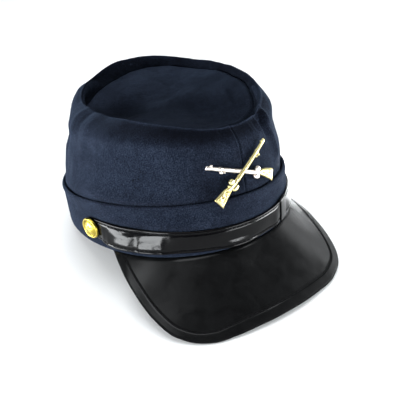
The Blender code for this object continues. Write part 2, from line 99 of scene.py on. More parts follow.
#              front   back   side   lean  twist  wave
HEIGHT = {
    "cuff_rim":  (0.0, 0.0, 0.0, 0.0, 0.0, 0.0),
    "cuff_top":  (37.4, 35.8, -1.2, -1.5, 0.0, 0.0),
    "wall_rim":  (1.2, 1.2, 0.0, 0.0, 0.0, 0.0),
    "wall_base": (36.4, 34.8, -1.2, -1.5, 0.0, 0.0),
    "wall_low":  (58.2, 60.3, 0.0, 0.0, 0.0, 0.0),
    "wall_mid":  (68.0, 76.7, 0.0, 2.2, -0.5, 0.4),
    "shoulder":  (76.1, 106.0, 0.9, 6.5, -1.5, 0.9),
    "crest":     (80.7, 110.4, 0.9, 7.2, -1.7, 1.0),
    "crease":    (77.8, 100.6, 0.9, 7.2, -1.7, 1.0),
}
WAVE_COS, WAVE_SIN, WAVE_MIX = -1.9, -1.5, 1.0
CUFF_TUCK = (
    # angle  drawn in
    (-180.0, 1.8), (-128.0, 2.5), (-98.0, 0.0), (40.0, 0.0), (66.0, 2.4), (130.0, 2.2), (180.0, 1.8),
)
FOLDS = (
    # angle  height  round  up    out
    (30.0, 64.0, 4.2, 22.0, 1.6),
    (24.5, 76.0, 4.2, 9.0, -2.8),
    (-17.5, 48.0, 4.5, 6.0, -1.6),
    (-70.0, 52.0, 12.0, 9.0, -1.2),
    (62.0, 70.0, 9.0, 16.0, -1.4),
    (118.0, 60.0, 14.0, 14.0, -1.3),
    (-140.0, 74.0, 15.0, 16.0, -1.4),
    (172.0, 52.0, 12.0, 10.0, -1.2),
    (152.0, 110.0, 22.0, 12.0, 1.6),
    (-156.0, 106.0, 14.0, 10.0, -1.2),
    (-138.0, 97.0, 10.0, 8.0, 2.4),
    (-120.0, 84.0, 10.0, 10.0, -1.6),
    (108.0, 105.0, 25.0, 8.0, -0.9),
    (52.0, 84.0, 10.0, 12.0, 1.4),
    (47.0, 55.0, 9.0, 12.0, 0.9),
)
TOP_SAG = 2.5
PEAK_END, PEAK_FLANGE, PEAK_SLOPE, PEAK_SLOPE_SIDE, PEAK_SPREAD = 66.6, 8.0, 48.8, 14.3, 0.41
PEAK_REACH = (
    # angle  reach
    (0.0, 55.3), (10.1, 55.8), (20.2, 57.1), (30.3, 58.8), (40.4, 57.4),
    (48.4, 50.7), (55.5, 35.4), (60.5, 20.0), (66.6, 1.2),
)
STRAP_WIDTH, STRAP_MID_FRONT, STRAP_RISE, STRAP_ROUND = 15.4, 9.8, (4.0, 3.2), 7.0
BUTTON_ANGLES, BUTTON_HEIGHT = (-73.8, 79.0), 16.6
KEEPER_ANGLE, KEEPER_HALF, KEEPER_WALL = 24.0, 2.5, 0.45
BADGE_LENGTH, BADGE_CROSS, BADGE_TURN, BADGE_BEND = 54.5, 27.6, 8.2, 140.0
BADGE_AT, BADGE_STANDOFF, BADGE_LEAN = (-1.9, 52.4), 1.0, 9.0


# ---------------------------------------------------------------- curves and surfaces
def spline(knots, values, at):
    """Natural cubic through values (one row a knot), read at the given places."""
    knots = np.asarray(knots, float)
    values = np.asarray(values, float)
    flat = values.reshape(len(knots), -1)
    h = np.diff(knots)
    n = len(knots)
    a = np.zeros((n, n))
    b = np.zeros((n, flat.shape[1]))
    a[0, 0] = a[-1, -1] = 1.0
    for i in range(1, n - 1):
        a[i, i - 1], a[i, i], a[i, i + 1] = h[i - 1], 2 * (h[i - 1] + h[i]), h[i]
        b[i] = 6 * ((flat[i + 1] - flat[i]) / h[i] - (flat[i] - flat[i - 1]) / h[i - 1])
    m = np.linalg.solve(a, b)
    at = np.atleast_1d(np.asarray(at, float))
    k = np.clip(np.searchsorted(knots, at) - 1, 0, n - 2)
    t0, t1 = (knots[k + 1] - at)[:, None], (at - knots[k])[:, None]
    hk = h[k][:, None]
    out = (
        m[k] * t0**3 / (6 * hk) + m[k + 1] * t1**3 / (6 * hk)
        + (flat[k] / hk - m[k] * hk / 6) * t0
        + (flat[k + 1] / hk - m[k + 1] * hk / 6) * t1
    )
    return out.reshape((len(at),) + values.shape[1:])


def eased(table, at):
    """Reads a table of places and values, easing from each to the next."""
    place, value = np.array(table).T
    at = np.clip(at, place[0], place[-1])
    k = np.clip(np.searchsorted(place, at) - 1, 0, len(place) - 2)
    t = (at - place[k]) / (place[k + 1] - place[k])
    return value[k] + (value[k + 1] - value[k]) * t * t * (3 - 2 * t)


def step(a, b, x):
    """0 before a, 1 after b, smooth between."""
    t = np.clip((np.asarray(x, float) - a) / (b - a), 0, 1)
    return t * t * (3 - 2 * t)


def ring(name, th):
    """Points of a named ring at the angles th, 0 at the front, +90 degrees at +X."""
    half_r, half_l, front, back, square = OUTLINE[name]
    z_front, z_back, side, lean, twist, wave = HEIGHT[name]
    s, c = np.sin(th), np.cos(th)
    swell = 1 + square * np.sin(2 * th) ** 2
    x = np.where(s < 0, half_r, half_l) * s * swell
    y = np.where(c > 0, -front, -back) * c * swell
    if name == "cuff_top":
        tuck = eased(CUFF_TUCK, np.degrees(th))
        size = np.hypot(x, y)
        x, y = x * (1 - tuck / size), y * (1 - tuck / size)
    z = (z_front * (1 + c) + z_back * (1 - c)) / 2 + side * s**2 + lean * s
    z = z + twist * np.sin(2 * th) + wave * (
        WAVE_COS * (np.cos(3 * th) - c) + WAVE_SIN * (np.sin(3 * th) + s)
        + WAVE_MIX * 2 * c * s**2
    )
    return np.stack([x, y, z], -1)


def cuff(th, height):
    """Outer face of the cuff."""
    t = (np.asarray(height, float) / CUFF_HEIGHT)[..., None]
    return ring("cuff_rim", th) * (1 - t) + ring("cuff_top", th) * t


def unit(v):
    return v / np.linalg.norm(v, axis=-1, keepdims=True)


def cuff_normal(th, height):
    d = 1e-3
    along = cuff(th + d, height) - cuff(th - d, height)
    rise = cuff(th, height + d) - cuff(th, height - d)
    return unit(np.cross(along, rise))


def strap_mid(th):
    rise = 1.9 * np.exp(-((np.degrees(th) - 32.0) / 13.0) ** 2)      # it rides up a little by the keeper
    return STRAP_MID_FRONT + STRAP_RISE[0] * np.sin(th) ** 2 + STRAP_RISE[1] * np.sin(th) ** 4 + rise


def strap_lift(th):
    bump = np.exp(-((np.degrees(th) - KEEPER_ANGLE) / 7.0) ** 4)
    return GAP + (KEEPER_WALL + 0.15) * bump


def grid_normals(rows, closed=True):
    """Normals of a grid of points, rows going up and columns going round."""
    if closed:
        along = np.roll(rows, -1, axis=1) - np.roll(rows, 1, axis=1)
    else:
        along = np.gradient(rows, axis=1)
    return unit(np.cross(along, np.gradient(rows, axis=0)))


def round_off(degrees, angle):
    return (degrees - angle + 180) % 360 - 180


def folded(rows, th):
    """Rows of wall points, pushed in and out along their own normals by the folds."""
    degrees = np.degrees(th)
    out = np.zeros(rows.shape[:2])
    for angle, height, wide, high, depth in FOLDS:
        off = round_off(degrees, angle)
        out += depth * np.exp(-(off / wide) ** 2 - ((rows[..., 2] - height) / high) ** 2)
    held = np.clip((rows[..., 2] - CUFF_HEIGHT) / 8, 0, 1)
    held[-1:] = 0
    return rows + grid_normals(rows) * (out * held)[..., None]


def rough(points, size, seed):
    """Smooth noise over points, -1 to 1, with bumps of the given size in mm."""
    shape = points.shape[:-1]
    flat = points.reshape(-1, 3) / size + np.array([seed * 7.31, seed * 3.17, seed * 5.73])
    return np.array([noise.noise(Vector(p)) for p in flat]).reshape(shape)


def stroke(x, y, path, wide, taper=6.0):
    """1 along a drawn line, falling off to its sides and towards its ends."""
    path = np.asarray(path, float)
    best = np.full(x.shape, 1e9)
    share = np.zeros(x.shape)
    lengths = np.linalg.norm(np.diff(path, axis=0), axis=1)
    total, gone = lengths.sum(), 0.0
    for (ax, ay), (bx, by), size in zip(path[:-1], path[1:], lengths):
        t = np.clip(((x - ax) * (bx - ax) + (y - ay) * (by - ay)) / size**2, 0, 1)
        d = np.hypot(x - ax - t * (bx - ax), y - ay - t * (by - ay))
        nearer = d < best
        best = np.where(nearer, d, best)
        share = np.where(nearer, gone + t * size, share)
        gone += size
    ends = step(0, taper, share) * step(0, taper, total - share)
    return np.exp(-(best / wide) ** 2) * (0.15 + 0.85 * ends)


# ---------------------------------------------------------------- meshes
def grid_faces(rows, columns, start=0, closed=True, flip=False):
    r = np.arange(rows - 1)[:, None]
    c = np.arange(columns if closed else columns - 1)[None, :]
    n = (c + 1) % columns
    quads = np.stack([r * columns + c, r * columns + n, (r + 1) * columns + n, (r + 1) * columns + c], -1)
    quads = quads.reshape(-1, 4) + start
    return quads[:, ::-1] if flip else quads


class Shape:
    """Points (cap frame, mm), faces and cloth coordinates of one piece."""

    def __init__(self):
        self.points, self.faces, self.cloth, self.tone = [], [], [], []
        self.count = 0

    def add_points(self, pts, cloth=None, tone=None):
        pts = np.asarray(pts, float).reshape(-1, 3)
        start = self.count
        self.points.append(pts)
        self.cloth.append(np.zeros((len(pts), 2)) if cloth is None else np.asarray(cloth, float).reshape(-1, 2))
        self.tone.append(np.zeros(len(pts)) if tone is None else np.asarray(tone, float).reshape(-1))
        self.count += len(pts)
        return start

    def add_grid(self, rows, closed=True, flip=False, cloth=None, tone=None, wrap_rows=False):
        rows = np.asarray(rows, float)
        start = self.add_points(rows, cloth, tone)
        r, c = rows.shape[:2]
        self.faces.extend(grid_faces(r, c, start, closed, flip).tolist())
        if wrap_rows:
            last, first = start + (r - 1) * c, start
            for i in range(c if closed else c - 1):
                j = (i + 1) % c
                quad = [last + i, last + j, first + j, first + i]
                self.faces.append(quad[::-1] if flip else quad)
        return start

    def join_rings(self, a, b, closed=True, flip=False):
        """Faces between two rings of point numbers."""
        n = len(a)
        for i in range(n if closed else n - 1):
            j = (i + 1) % n
            quad = [int(a[i]), int(a[j]), int(b[j]), int(b[i])]
            self.faces.append(quad[::-1] if flip else quad)

    def fan(self, ring_ids, centre, flip=False, tone=0.0):
        c = self.add_points([centre], tone=[tone])
        n = len(ring_ids)
        for i in range(n):
            tri = [int(ring_ids[i]), int(ring_ids[(i + 1) % n]), c]
            self.faces.append(tri[::-1] if flip else tri)

    def build(self, name, mat, nodes=(), sharp=None):
        pts = laid(np.concatenate(self.points))
        mesh = bpy.data.meshes.new(name)
        mesh.from_pydata(pts.tolist(), [], self.faces)
        mesh.materials.append(mat)
        cloth = np.concatenate(self.cloth) * MM
        layer = mesh.uv_layers.new(name="cloth")
        loops = np.empty(len(mesh.loops), np.int32)
        mesh.loops.foreach_get("vertex_index", loops)
        layer.data.foreach_set("uv", cloth[loops].astype(np.float32).ravel())
        tone = mesh.attributes.new("tone", "FLOAT", "POINT")
        tone.data.foreach_set("value", np.concatenate(self.tone).astype(np.float32))
        bm = bmesh.new()
        bm.from_mesh(mesh)
        bmesh.ops.recalc_face_normals(bm, faces=bm.faces)
        bm.to_mesh(mesh)
        bm.free()
        mesh.shade_smooth()
        if sharp is not None:
            mesh.set_sharp_from_angle(angle=math.radians(sharp))
        mesh.validate()
        obj = bpy.data.objects.new(name, mesh)
        bpy.context.scene.collection.objects.link(obj)
        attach(obj, "root")
        for node in nodes:
            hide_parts(node)
        return obj


def capsule(shape, at, along, out, length, radius, flat=0.75, bow=0.0):
    """One stitch: a short rounded thread lying on a surface."""
    along, out = unit(np.asarray(along, float)), unit(np.asarray(out, float))
    side = np.cross(along, out)
    rings = []
    for x, r in ((-0.5, 0.35), (-0.40, 0.85), (0.0, 1.0), (0.40, 0.85), (0.5, 0.35)):
        a = np.arange(6) * math.pi / 3
        lift = bow * (1 - (2 * x) ** 2)
        rings.append(at + along * (x * length) + out * lift
                     + (side * np.cos(a)[:, None] + out * (flat * np.sin(a)[:, None])) * radius * r)
    start = shape.add_grid(np.array(rings))
    shape.fan([start + i for i in range(6)], rings[0].mean(axis=0), flip=True)
    shape.fan([start + 24 + i for i in range(6)], rings[4].mean(axis=0))


# ---------------------------------------------------------------- materials
def nodes_of(mat):
    mat.use_nodes = True
    tree = mat.node_tree
    return tree, tree.nodes["Principled BSDF"]


def node(tree, kind, **values):
    n = tree.nodes.new(kind)
    for key, value in values.items():
        if key.startswith("in_"):
            n.inputs[key[3:].replace("_", " ")].default_value = value
        else:
            setattr(n, key, value)
    return n


def ramp(tree, source, stops):
    n = tree.nodes.new("ShaderNodeValToRGB")
    elements = n.color_ramp.elements
    while len(elements) < len(stops):
        elements.new(0.5)
    for e, (place, colour) in zip(elements, stops):
        e.position = place
        e.color = (*colour, 1.0) if len(colour) == 3 else colour
    tree.links.new(source, n.inputs["Fac"])
    return n


def noise_node(tree, coords, size_mm, detail=2.0, rough_=0.5, distortion=0.0):
    """Noise whose bumps are about size_mm across."""
    n = node(tree, "ShaderNodeTexNoise", in_Scale=1000.0 / size_mm, in_Detail=detail,
             in_Roughness=rough_, in_Distortion=distortion)
    tree.links.new(coords, n.inputs["Vector"])
    return n


def mixed(tree, kind, a, b, factor=1.0):
    n = tree.nodes.new("ShaderNodeMix")
    n.data_type = "RGBA"
    n.blend_type = kind
    n.clamp_result = True
    n.inputs["Factor"].default_value = factor
    tree.links.new(a, n.inputs["A"])
    tree.links.new(b, n.inputs["B"])
    return n.outputs["Result"]


def maths(tree, kind, a, b=None, value=None):
    n = tree.nodes.new("ShaderNodeMath")
    n.operation = kind
    tree.links.new(a, n.inputs[0])
    if b is not None:
        tree.links.new(b, n.inputs[1])
    elif value is not None:
        n.inputs[1].default_value = value
    return n.outputs[0]


def felted_cloth(name, dark, light, fleck, speckle=1.25, weave=0.6, sheen=0.08):
    """Felted woollen cloth: a soft twill under a mottled nap, with a pale bloom at grazing angles."""
    mat = bpy.data.materials.new(name)
    tree, bsdf = nodes_of(mat)
    where = node(tree, "ShaderNodeTexCoord")
    cloth = node(tree, "ShaderNodeUVMap", uv_map="cloth")
    big = noise_node(tree, where.outputs["Object"], 26.0, 3.0, 0.55)
    patch = noise_node(tree, where.outputs["Object"], 5.0, 3.0, 0.6)
    nap = noise_node(tree, where.outputs["Object"], 0.85, 2.0, 0.7)
    fibre = noise_node(tree, where.outputs["Object"], 0.38, 2.0, 0.7, 0.6)
    parts = node(tree, "ShaderNodeSeparateXYZ")
    tree.links.new(cloth.outputs["UV"], parts.inputs[0])
    # twill: two sets of slanting ribs about 0.8 mm apart
    across = maths(tree, "MULTIPLY", parts.outputs["X"], value=2 * math.pi / 0.00085)
    upward = maths(tree, "MULTIPLY", parts.outputs["Y"], value=2 * math.pi / 0.00070)
    wobble = maths(tree, "MULTIPLY", nap.outputs["Fac"], value=5.0)
    slant = maths(tree, "SINE", maths(tree, "ADD", maths(tree, "ADD", across, upward), wobble))
    threads = maths(tree, "SINE", maths(tree, "SUBTRACT", across, upward))
    twill = maths(tree, "ADD", maths(tree, "MULTIPLY", slant, value=0.5),
                  maths(tree, "MULTIPLY", threads, value=0.2))

    # each layer of mottling swings about a middle of one half
    tone = maths(tree, "MULTIPLY", twill, value=0.05)
    for layer, share in ((nap, 1.25), (fibre, 0.85), (patch, 0.25), (big, 0.35)):
        swing = maths(tree, "SUBTRACT", layer.outputs["Fac"], value=0.5)
        tone = maths(tree, "ADD", tone, maths(tree, "MULTIPLY", swing, value=share * speckle))
    tone = maths(tree, "ADD", tone, value=0.40)
    # painted shading: the 'tone' attribute darkens the cloth where shade falls and lightens it where a highlight is
    # painted
    painted_shading = node(tree, "ShaderNodeAttribute", attribute_name="tone")
    tone = maths(tree, "SUBTRACT", tone, maths(tree, "MULTIPLY", painted_shading.outputs["Fac"], value=0.20))
    colour = ramp(tree, tone, ((0.0, dark), (0.40, light), (1.0, fleck)))
    tree.links.new(colour.outputs["Color"], bsdf.inputs["Base Color"])
    shine = node(tree, "ShaderNodeMapRange", in_To_Min=0.78, in_To_Max=1.0)
    tree.links.new(nap.outputs["Fac"], shine.inputs["Value"])
    tree.links.new(shine.outputs["Result"], bsdf.inputs["Roughness"])

    height = maths(tree, "ADD", maths(tree, "MULTIPLY", twill, value=0.22 * weave),
                   maths(tree, "MULTIPLY", fibre.outputs["Fac"], value=0.7))
    height = maths(tree, "ADD", height, maths(tree, "MULTIPLY", nap.outputs["Fac"], value=1.1))
    bump = node(tree, "ShaderNodeBump", in_Strength=0.55, in_Distance=0.00032)
    tree.links.new(height, bump.inputs["Height"])
    tree.links.new(bump.outputs["Normal"], bsdf.inputs["Normal"])
    bsdf.inputs["Specular IOR Level"].default_value = 0.02
    bsdf.inputs["Sheen Weight"].default_value = sheen
    bsdf.inputs["Sheen Roughness"].default_value = 0.38
    bsdf.inputs["Sheen Tint"].default_value = (0.45, 0.64, 1.0, 1.0)
    return mat


def coated(name, base, roughness, spread, grain_mm, grain, ripple_mm, ripple, level, coat):
    """Black coated leather cloth: smooth skin with a fine grain and slow ripples."""
    mat = bpy.data.materials.new(name)
    tree, bsdf = nodes_of(mat)
    where = node(tree, "ShaderNodeTexCoord")
    slow = noise_node(tree, where.outputs["Object"], ripple_mm, 2.0, 0.5, 0.8)
    smear = noise_node(tree, where.outputs["Object"], 14.0, 4.0, 0.6, 1.2)
    pebble = node(tree, "ShaderNodeTexVoronoi", in_Scale=1000.0 / grain_mm)
    pebble.feature = "SMOOTH_F1"
    tree.links.new(where.outputs["Object"], pebble.inputs["Vector"])
    dust = noise_node(tree, where.outputs["Object"], 0.5, 2.0, 0.6)
    colour = ramp(tree, smear.outputs["Fac"], (
        (0.30, tuple(c * 0.75 for c in base)), (0.70, tuple(c * 1.35 for c in base))))
    tree.links.new(colour.outputs["Color"], bsdf.inputs["Base Color"])
    worn = maths(tree, "ADD", maths(tree, "MULTIPLY", smear.outputs["Fac"], value=0.7),
                 maths(tree, "MULTIPLY", dust.outputs["Fac"], value=0.3))
    gloss = node(tree, "ShaderNodeMapRange", in_From_Min=0.3, in_From_Max=0.7,
                 in_To_Min=roughness - spread, in_To_Max=roughness + spread)
    tree.links.new(worn, gloss.inputs["Value"])
    tree.links.new(gloss.outputs["Result"], bsdf.inputs["Roughness"])
    height = maths(tree, "ADD", maths(tree, "MULTIPLY", pebble.outputs["Distance"], value=grain),
                   maths(tree, "MULTIPLY", slow.outputs["Fac"], value=ripple))
    bump = node(tree, "ShaderNodeBump", in_Strength=1.0, in_Distance=0.001)
    tree.links.new(height, bump.inputs["Height"])
    tree.links.new(bump.outputs["Normal"], bsdf.inputs["Normal"])
    bsdf.inputs["Specular IOR Level"].default_value = level
    bsdf.inputs["Coat Weight"].default_value = coat
    bsdf.inputs["Coat Roughness"].default_value = 0.04
    return mat


def cast_metal(name, deep, body, bright, roughness, grain_mm, grain):
    """Plated metal: darker in its hollows, brighter on its edges, faintly uneven."""
    mat = bpy.data.materials.new(name)
    tree, bsdf = nodes_of(mat)
    where = node(tree, "ShaderNodeTexCoord")
    cloud = noise_node(tree, where.outputs["Object"], 3.0, 3.0, 0.6)
    speck = noise_node(tree, where.outputs["Object"], grain_mm, 2.0, 0.6)
    tone = node(tree, "ShaderNodeAttribute", attribute_name="tone")
    level = maths(tree, "ADD", tone.outputs["Fac"],
                  maths(tree, "MULTIPLY", cloud.outputs["Fac"], value=0.22))
    level = maths(tree, "ADD", level, maths(tree, "MULTIPLY", speck.outputs["Fac"], value=0.12))
    colour = ramp(tree, level, ((0.10, deep), (0.55, body), (1.05, bright)))
    tree.links.new(colour.outputs["Color"], bsdf.inputs["Base Color"])
    gloss = node(tree, "ShaderNodeMapRange", in_To_Min=roughness * 0.7, in_To_Max=roughness * 1.5)
    tree.links.new(cloud.outputs["Fac"], gloss.inputs["Value"])
    tree.links.new(gloss.outputs["Result"], bsdf.inputs["Roughness"])
    bump = node(tree, "ShaderNodeBump", in_Strength=grain, in_Distance=0.00005)
    tree.links.new(speck.outputs["Fac"], bump.inputs["Height"])
    tree.links.new(bump.outputs["Normal"], bsdf.inputs["Normal"])
    bsdf.inputs["Metallic"].default_value = 1.0
    return mat


def thread(name, dark, light, roughness):
    mat = bpy.data.materials.new(name)
    tree, bsdf = nodes_of(mat)
    where = node(tree, "ShaderNodeTexCoord")
    ply = noise_node(tree, where.outputs["Object"], 0.4, 2.0, 0.7, 1.0)
    colour = ramp(tree, ply.outputs["Fac"], ((0.35, dark), (0.65, light)))
    tree.links.new(colour.outputs["Color"], bsdf.inputs["Base Color"])
    bsdf.inputs["Specular IOR Level"].default_value = 0.02
    bump = node(tree, "ShaderNodeBump", in_Strength=0.6, in_Distance=0.0001)
    tree.links.new(ply.outputs["Fac"], bump.inputs["Height"])
    tree.links.new(bump.outputs["Normal"], bsdf.inputs["Normal"])
    gloss = node(tree, "ShaderNodeMapRange", in_To_Min=roughness * 0.8, in_To_Max=roughness * 1.2)
    tree.links.new(ply.outputs["Fac"], gloss.inputs["Value"])
    tree.links.new(gloss.outputs["Result"], bsdf.inputs["Roughness"])
    return mat


NAVY_DARK, NAVY_LIGHT, NAVY_FLECK = (0.0020, 0.0025, 0.0044), (0.0071, 0.0097, 0.0170), (0.028, 0.0370, 0.060)
crown_mat = felted_cloth("navy_felt", NAVY_DARK, NAVY_LIGHT, NAVY_FLECK)
top_mat = felted_cloth("navy_felt_top", NAVY_DARK, NAVY_LIGHT, NAVY_FLECK)
cuff_mat = felted_cloth("navy_felt_cuff", NAVY_DARK, NAVY_LIGHT, NAVY_FLECK)
peak_mat = coated("black_satin_vinyl", (0.0034, 0.0035, 0.0037), 0.24, 0.035, 0.55, 0.012, 34.0, 0.20, 0.22, 0.0)
patent_mat = coated("black_patent", (0.0017, 0.0017, 0.0020), 0.13, 0.03, 0.6, 0.004, 7.0, 0.12, 0.125, 0.0)
keeper_mat = coated("black_keeper", (0.0060, 0.0060, 0.0065), 0.18, 0.03, 0.6, 0.006, 9.0, 0.10, 0.29, 0.0)
gold_mat = cast_metal("pale_gold", (0.055, 0.040, 0.012), (0.35, 0.292, 0.108), (0.72, 0.635, 0.32), 0.34, 0.30, 0.45)
silver_mat = cast_metal("worn_plating", (0.070, 0.045, 0.025), (0.52, 0.445, 0.385), (0.87, 0.80, 0.73), 0.34, 0.30, 0.40)
brass_mat = cast_metal("polished_brass", (0.12, 0.085, 0.008), (0.46, 0.352, 0.046), (0.70, 0.575, 0.135), 0.28, 0.35, 0.30)
edge_mat = coated("black_edge_paint", (0.0042, 0.0042, 0.0044), 0.50, 0.05, 0.5, 0.020, 12.0, 0.10, 0.01, 0.0)
steel_mat = cast_metal("nickel_steel", (0.20, 0.19, 0.18), (0.52, 0.51, 0.49), (0.75, 0.74, 0.72), 0.32, 0.30, 0.4)
black_thread = thread("black_thread", (0.0030, 0.0030, 0.0034), (0.011, 0.011, 0.012), 0.55)
navy_thread = thread("navy_thread", (0.008, 0.010, 0.020), (0.030, 0.038, 0.070), 0.6)


# ---------------------------------------------------------------- crown wall
def columns(spans):
    """Angles in degrees, stepping as finely as each span asks."""
    out = []
    for first, last, size in spans:
        n = max(1, round((last - first) / size))
        out += [first + (last - first) * i / n for i in range(n)]
    return np.array(out)


WALL_NAMES = ("wall_rim", "wall_base", "wall_low", "wall_mid", "shoulder", "crest", "crease")
WALL_KNOTS = (0.0, 34.0, 58.0, 72.0, 92.0, 99.0, 106.0)
turn_deg = columns(((-180, -176, 0.5), (-176, -14, 1.0), (-14, 8, 0.36), (8, 38, 0.55), (38, 176, 1.0), (176, 180, 0.5)))
turn_th = np.radians(turn_deg)
wall_u = np.concatenate([np.linspace(0, 28, 6, endpoint=False), np.linspace(28, 88, 60, endpoint=False),
                         np.linspace(88, 106, 41)])
rings_here = np.array([ring(n, turn_th) for n in WALL_NAMES])
wall_smooth = folded(spline(WALL_KNOTS, rings_here, wall_u), turn_th)

# The rim of the crown is creased sharply at the front and rolls over softly at the sides.
SHARP = (
    # angle  how sharp
    (-180.0, 0.90), (-134.0, 0.80), (-116.0, 0.50), (-98.0, 0.15), (-82.0, 0.12), (-66.0, 0.35), (-52.0, 1.0), (48.0, 1.0),
    (70.0, 0.7), (110.0, 0.75), (180.0, 0.90),
)
sharp_here = eased(SHARP, turn_deg)
low_at = int(np.searchsorted(wall_u, 84.0))
crest_at = int(np.argmin(abs(wall_u - 99.0)))
foot, crest_line, crease_line = wall_smooth[low_at], wall_smooth[crest_at].copy(), wall_smooth[-1]
# the rim stands out farther behind the wearer's right
outwards = crest_line[:, :2] - crest_line[:, :2].mean(axis=0)
outwards /= np.linalg.norm(outwards, axis=1, keepdims=True)
crest_line[:, :2] += outwards * (4.2 * np.exp(-(round_off(turn_deg, -117.0) / 20.0) ** 2))[:, None]
lift_dir = (wall_smooth[low_at + 1] - wall_smooth[low_at]) / (wall_u[low_at + 1] - wall_u[low_at])
creased = wall_smooth.copy()
for i in range(low_at, len(wall_u)):
    if wall_u[i] <= 99.0:
        t = (wall_u[i] - wall_u[low_at]) / (99.0 - wall_u[low_at])
        bend = foot + lift_dir * (99.0 - wall_u[low_at]) * 0.42
        creased[i] = foot * (1 - t) ** 2 + 2 * bend * t * (1 - t) + crest_line * t**2
    else:
        t = (wall_u[i] - 99.0) / 7.0
        creased[i] = crest_line * (1 - t) + crease_line * t
        creased[i, :, 2] -= 1.1 * np.sin(math.pi * t)
for _ in range(5):
    creased[low_at:-1] = creased[low_at:-1] * 0.5 + (creased[low_at - 1:-2] + creased[low_at + 1:]) * 0.25
wall = wall_smooth + (creased - wall_smooth) * sharp_here[None, :, None]
wall_n = grid_normals(wall)

wall_z = wall[..., 2]
wall_x = wall[..., 0]
along_mm = turn_th[None, :] * 82.0 + np.zeros_like(wall_z)
out = np.zeros_like(wall_z)

# Lines of folding, as (angle in degrees, height in mm).
CREASES = (
    # name              width  out    path
    ("ridge_left",       1.9,  1.15, ((32.5, 85.5), (30.0, 78.0), (27.7, 72.0), (28.3, 61.3), (31.4, 44.7))),
    ("ridge_left_foot",  5.0,  0.55, ((31.0, 62.0), (33.5, 50.0), (36.0, 40.0))),
    ("hollow_left",      2.1, -1.30, ((26.3, 83.5), (25.0, 79.0), (24.0, 73.0), (24.0, 66.0))),
    ("ridge_second",     1.5,  0.95, ((22.5, 82.5), (20.2, 77.8), (20.1, 73.6), (20.8, 66.4))),
    ("hollow_second",    1.5, -0.60, ((17.5, 81.5), (16.8, 76.5), (17.2, 70.0))),
    ("ridge_third",      1.3,  0.40, ((13.0, 82.0), (12.5, 77.0), (13.2, 71.0))),
    ("seam_shadow",      2.2, -0.55, ((-9.0, 62.0), (-8.0, 70.0), (-6.5, 76.0))),
    ("seam_rise",        2.0,  0.45, ((-5.0, 58.0), (-4.6, 66.0), (-3.6, 74.0))),
    ("pucker_a",         0.8, -0.95, ((-9.6, 81.6), (-8.9, 79.0), (-7.4, 76.8))),
    ("pucker_b",         0.8, -0.75, ((-6.0, 81.4), (-7.0, 78.6), (-8.6, 75.8))),
    ("pucker_lip",       0.9,  0.45, ((-11.6, 81.0), (-10.6, 78.4))),
    ("badge_dent",       3.4, -0.80, ((-18.4, 52.5), (-17.2, 46.5), (-15.8, 41.5))),
    ("side_a",           4.2,  0.90, ((-102.0, 92.0), (-97.0, 78.0), (-101.0, 62.0))),
    ("side_b",           3.2, -0.75, ((-93.0, 94.0), (-90.0, 82.0), (-87.0, 72.0))),
    ("side_c",           3.6,  0.70, ((-84.0, 90.0), (-82.0, 78.0), (-86.0, 64.0))),
    ("side_d",           3.0, -0.60, ((-108.0, 72.0), (-104.0, 58.0), (-100.0, 46.0))),
    ("side_e",           3.8,  0.60, ((-92.0, 66.0), (-90.0, 54.0), (-94.0, 44.0))),
    ("cuff_slack",       3.0, -0.50, ((-64.0, 45.0), (-48.0, 43.5), (-30.0, 43.0))),
    ("cuff_slack_b",     3.0,  0.45, ((-58.0, 52.0), (-44.0, 50.0), (-26.0, 51.0))),
    ("back_a",           3.6,  0.90, ((150.0, 92.0), (146.0, 74.0), (150.0, 56.0))),
    ("back_b",           3.4, -0.80, ((136.0, 90.0), (133.0, 70.0), (130.0, 52.0))),
    ("back_c",           3.6,  0.80, ((-164.0, 96.0), (-168.0, 78.0), (-162.0, 58.0))),
    ("back_d",           3.2, -0.70, ((-150.0, 88.0), (-146.0, 68.0), (-150.0, 50.0))),
    ("flank_a",          3.4,  0.80, ((88.0, 88.0), (84.0, 72.0), (90.0, 54.0))),
    ("flank_b",          3.2, -0.70, ((102.0, 84.0), (98.0, 66.0), (96.0, 48.0))),
    ("flank_c",          3.4,  0.60, ((70.0, 80.0), (66.0, 66.0), (70.0, 50.0))),
)
for _, wide, deep, path in CREASES:
    place = [(math.radians(a) * 82.0, h) for a, h in path]
    out += deep * stroke(along_mm, wall_z, place, wide)
# the hollow of slack cloth all round, and the nap's own unevenness
out += 0.95 * rough(wall, 24.0, 1) + 0.34 * rough(wall, 9.5, 2) + 0.10 * rough(wall, 4.0, 3)
# front and back seams: the cloth is stitched along a groove, its turnings lie to one side
for angle, side in ((0.0, 1.0), (180.0, -1.0)):
    waver = 0.35 * np.sin(wall_z / 7.0) * (angle == 0.0)
    off = (np.radians(round_off(turn_deg, angle))[None, :] * 86.0 - waver) * side
    seam_rows = 1 - 0.85 * step(84.0, 94.0, wall_u)[:, None] * (angle != 0.0)
    if angle == 0.0:
        seam_rows = (1 - 0.55 * step(80.0, 92.0, wall_u)[:, None]) * 0.85
    out += -0.95 * np.exp(-(off / 0.62) ** 2) * seam_rows
    out += 0.55 * np.exp(-((off + 2.0) / 1.25) ** 2) * seam_rows + 0.30 * np.exp(-((off - 1.7) / 1.1) ** 2) * seam_rows
    out += 0.30 * step(-9.0, -6.0, off) * (1 - step(-1.2, -0.2, off)) * seam_rows
# a stitched edge stands up along the sharp crease, with a shallow trough outside it
edge = np.exp(-((wall_u - 98.7) / 0.60) ** 2)[:, None] * sharp_here[None, :]
out += (0.50 + 0.22 * rough(wall, 7.0, 6)) * edge
out -= 0.34 * np.exp(-((wall_u - 96.6) / 1.1) ** 2)[:, None] * sharp_here[None, :]
held = step(CUFF_HEIGHT - 1.0, CUFF_HEIGHT + 6.0, wall_z) * (1 - step(103.5, 106.0, wall_u))[:, None]
out *= held
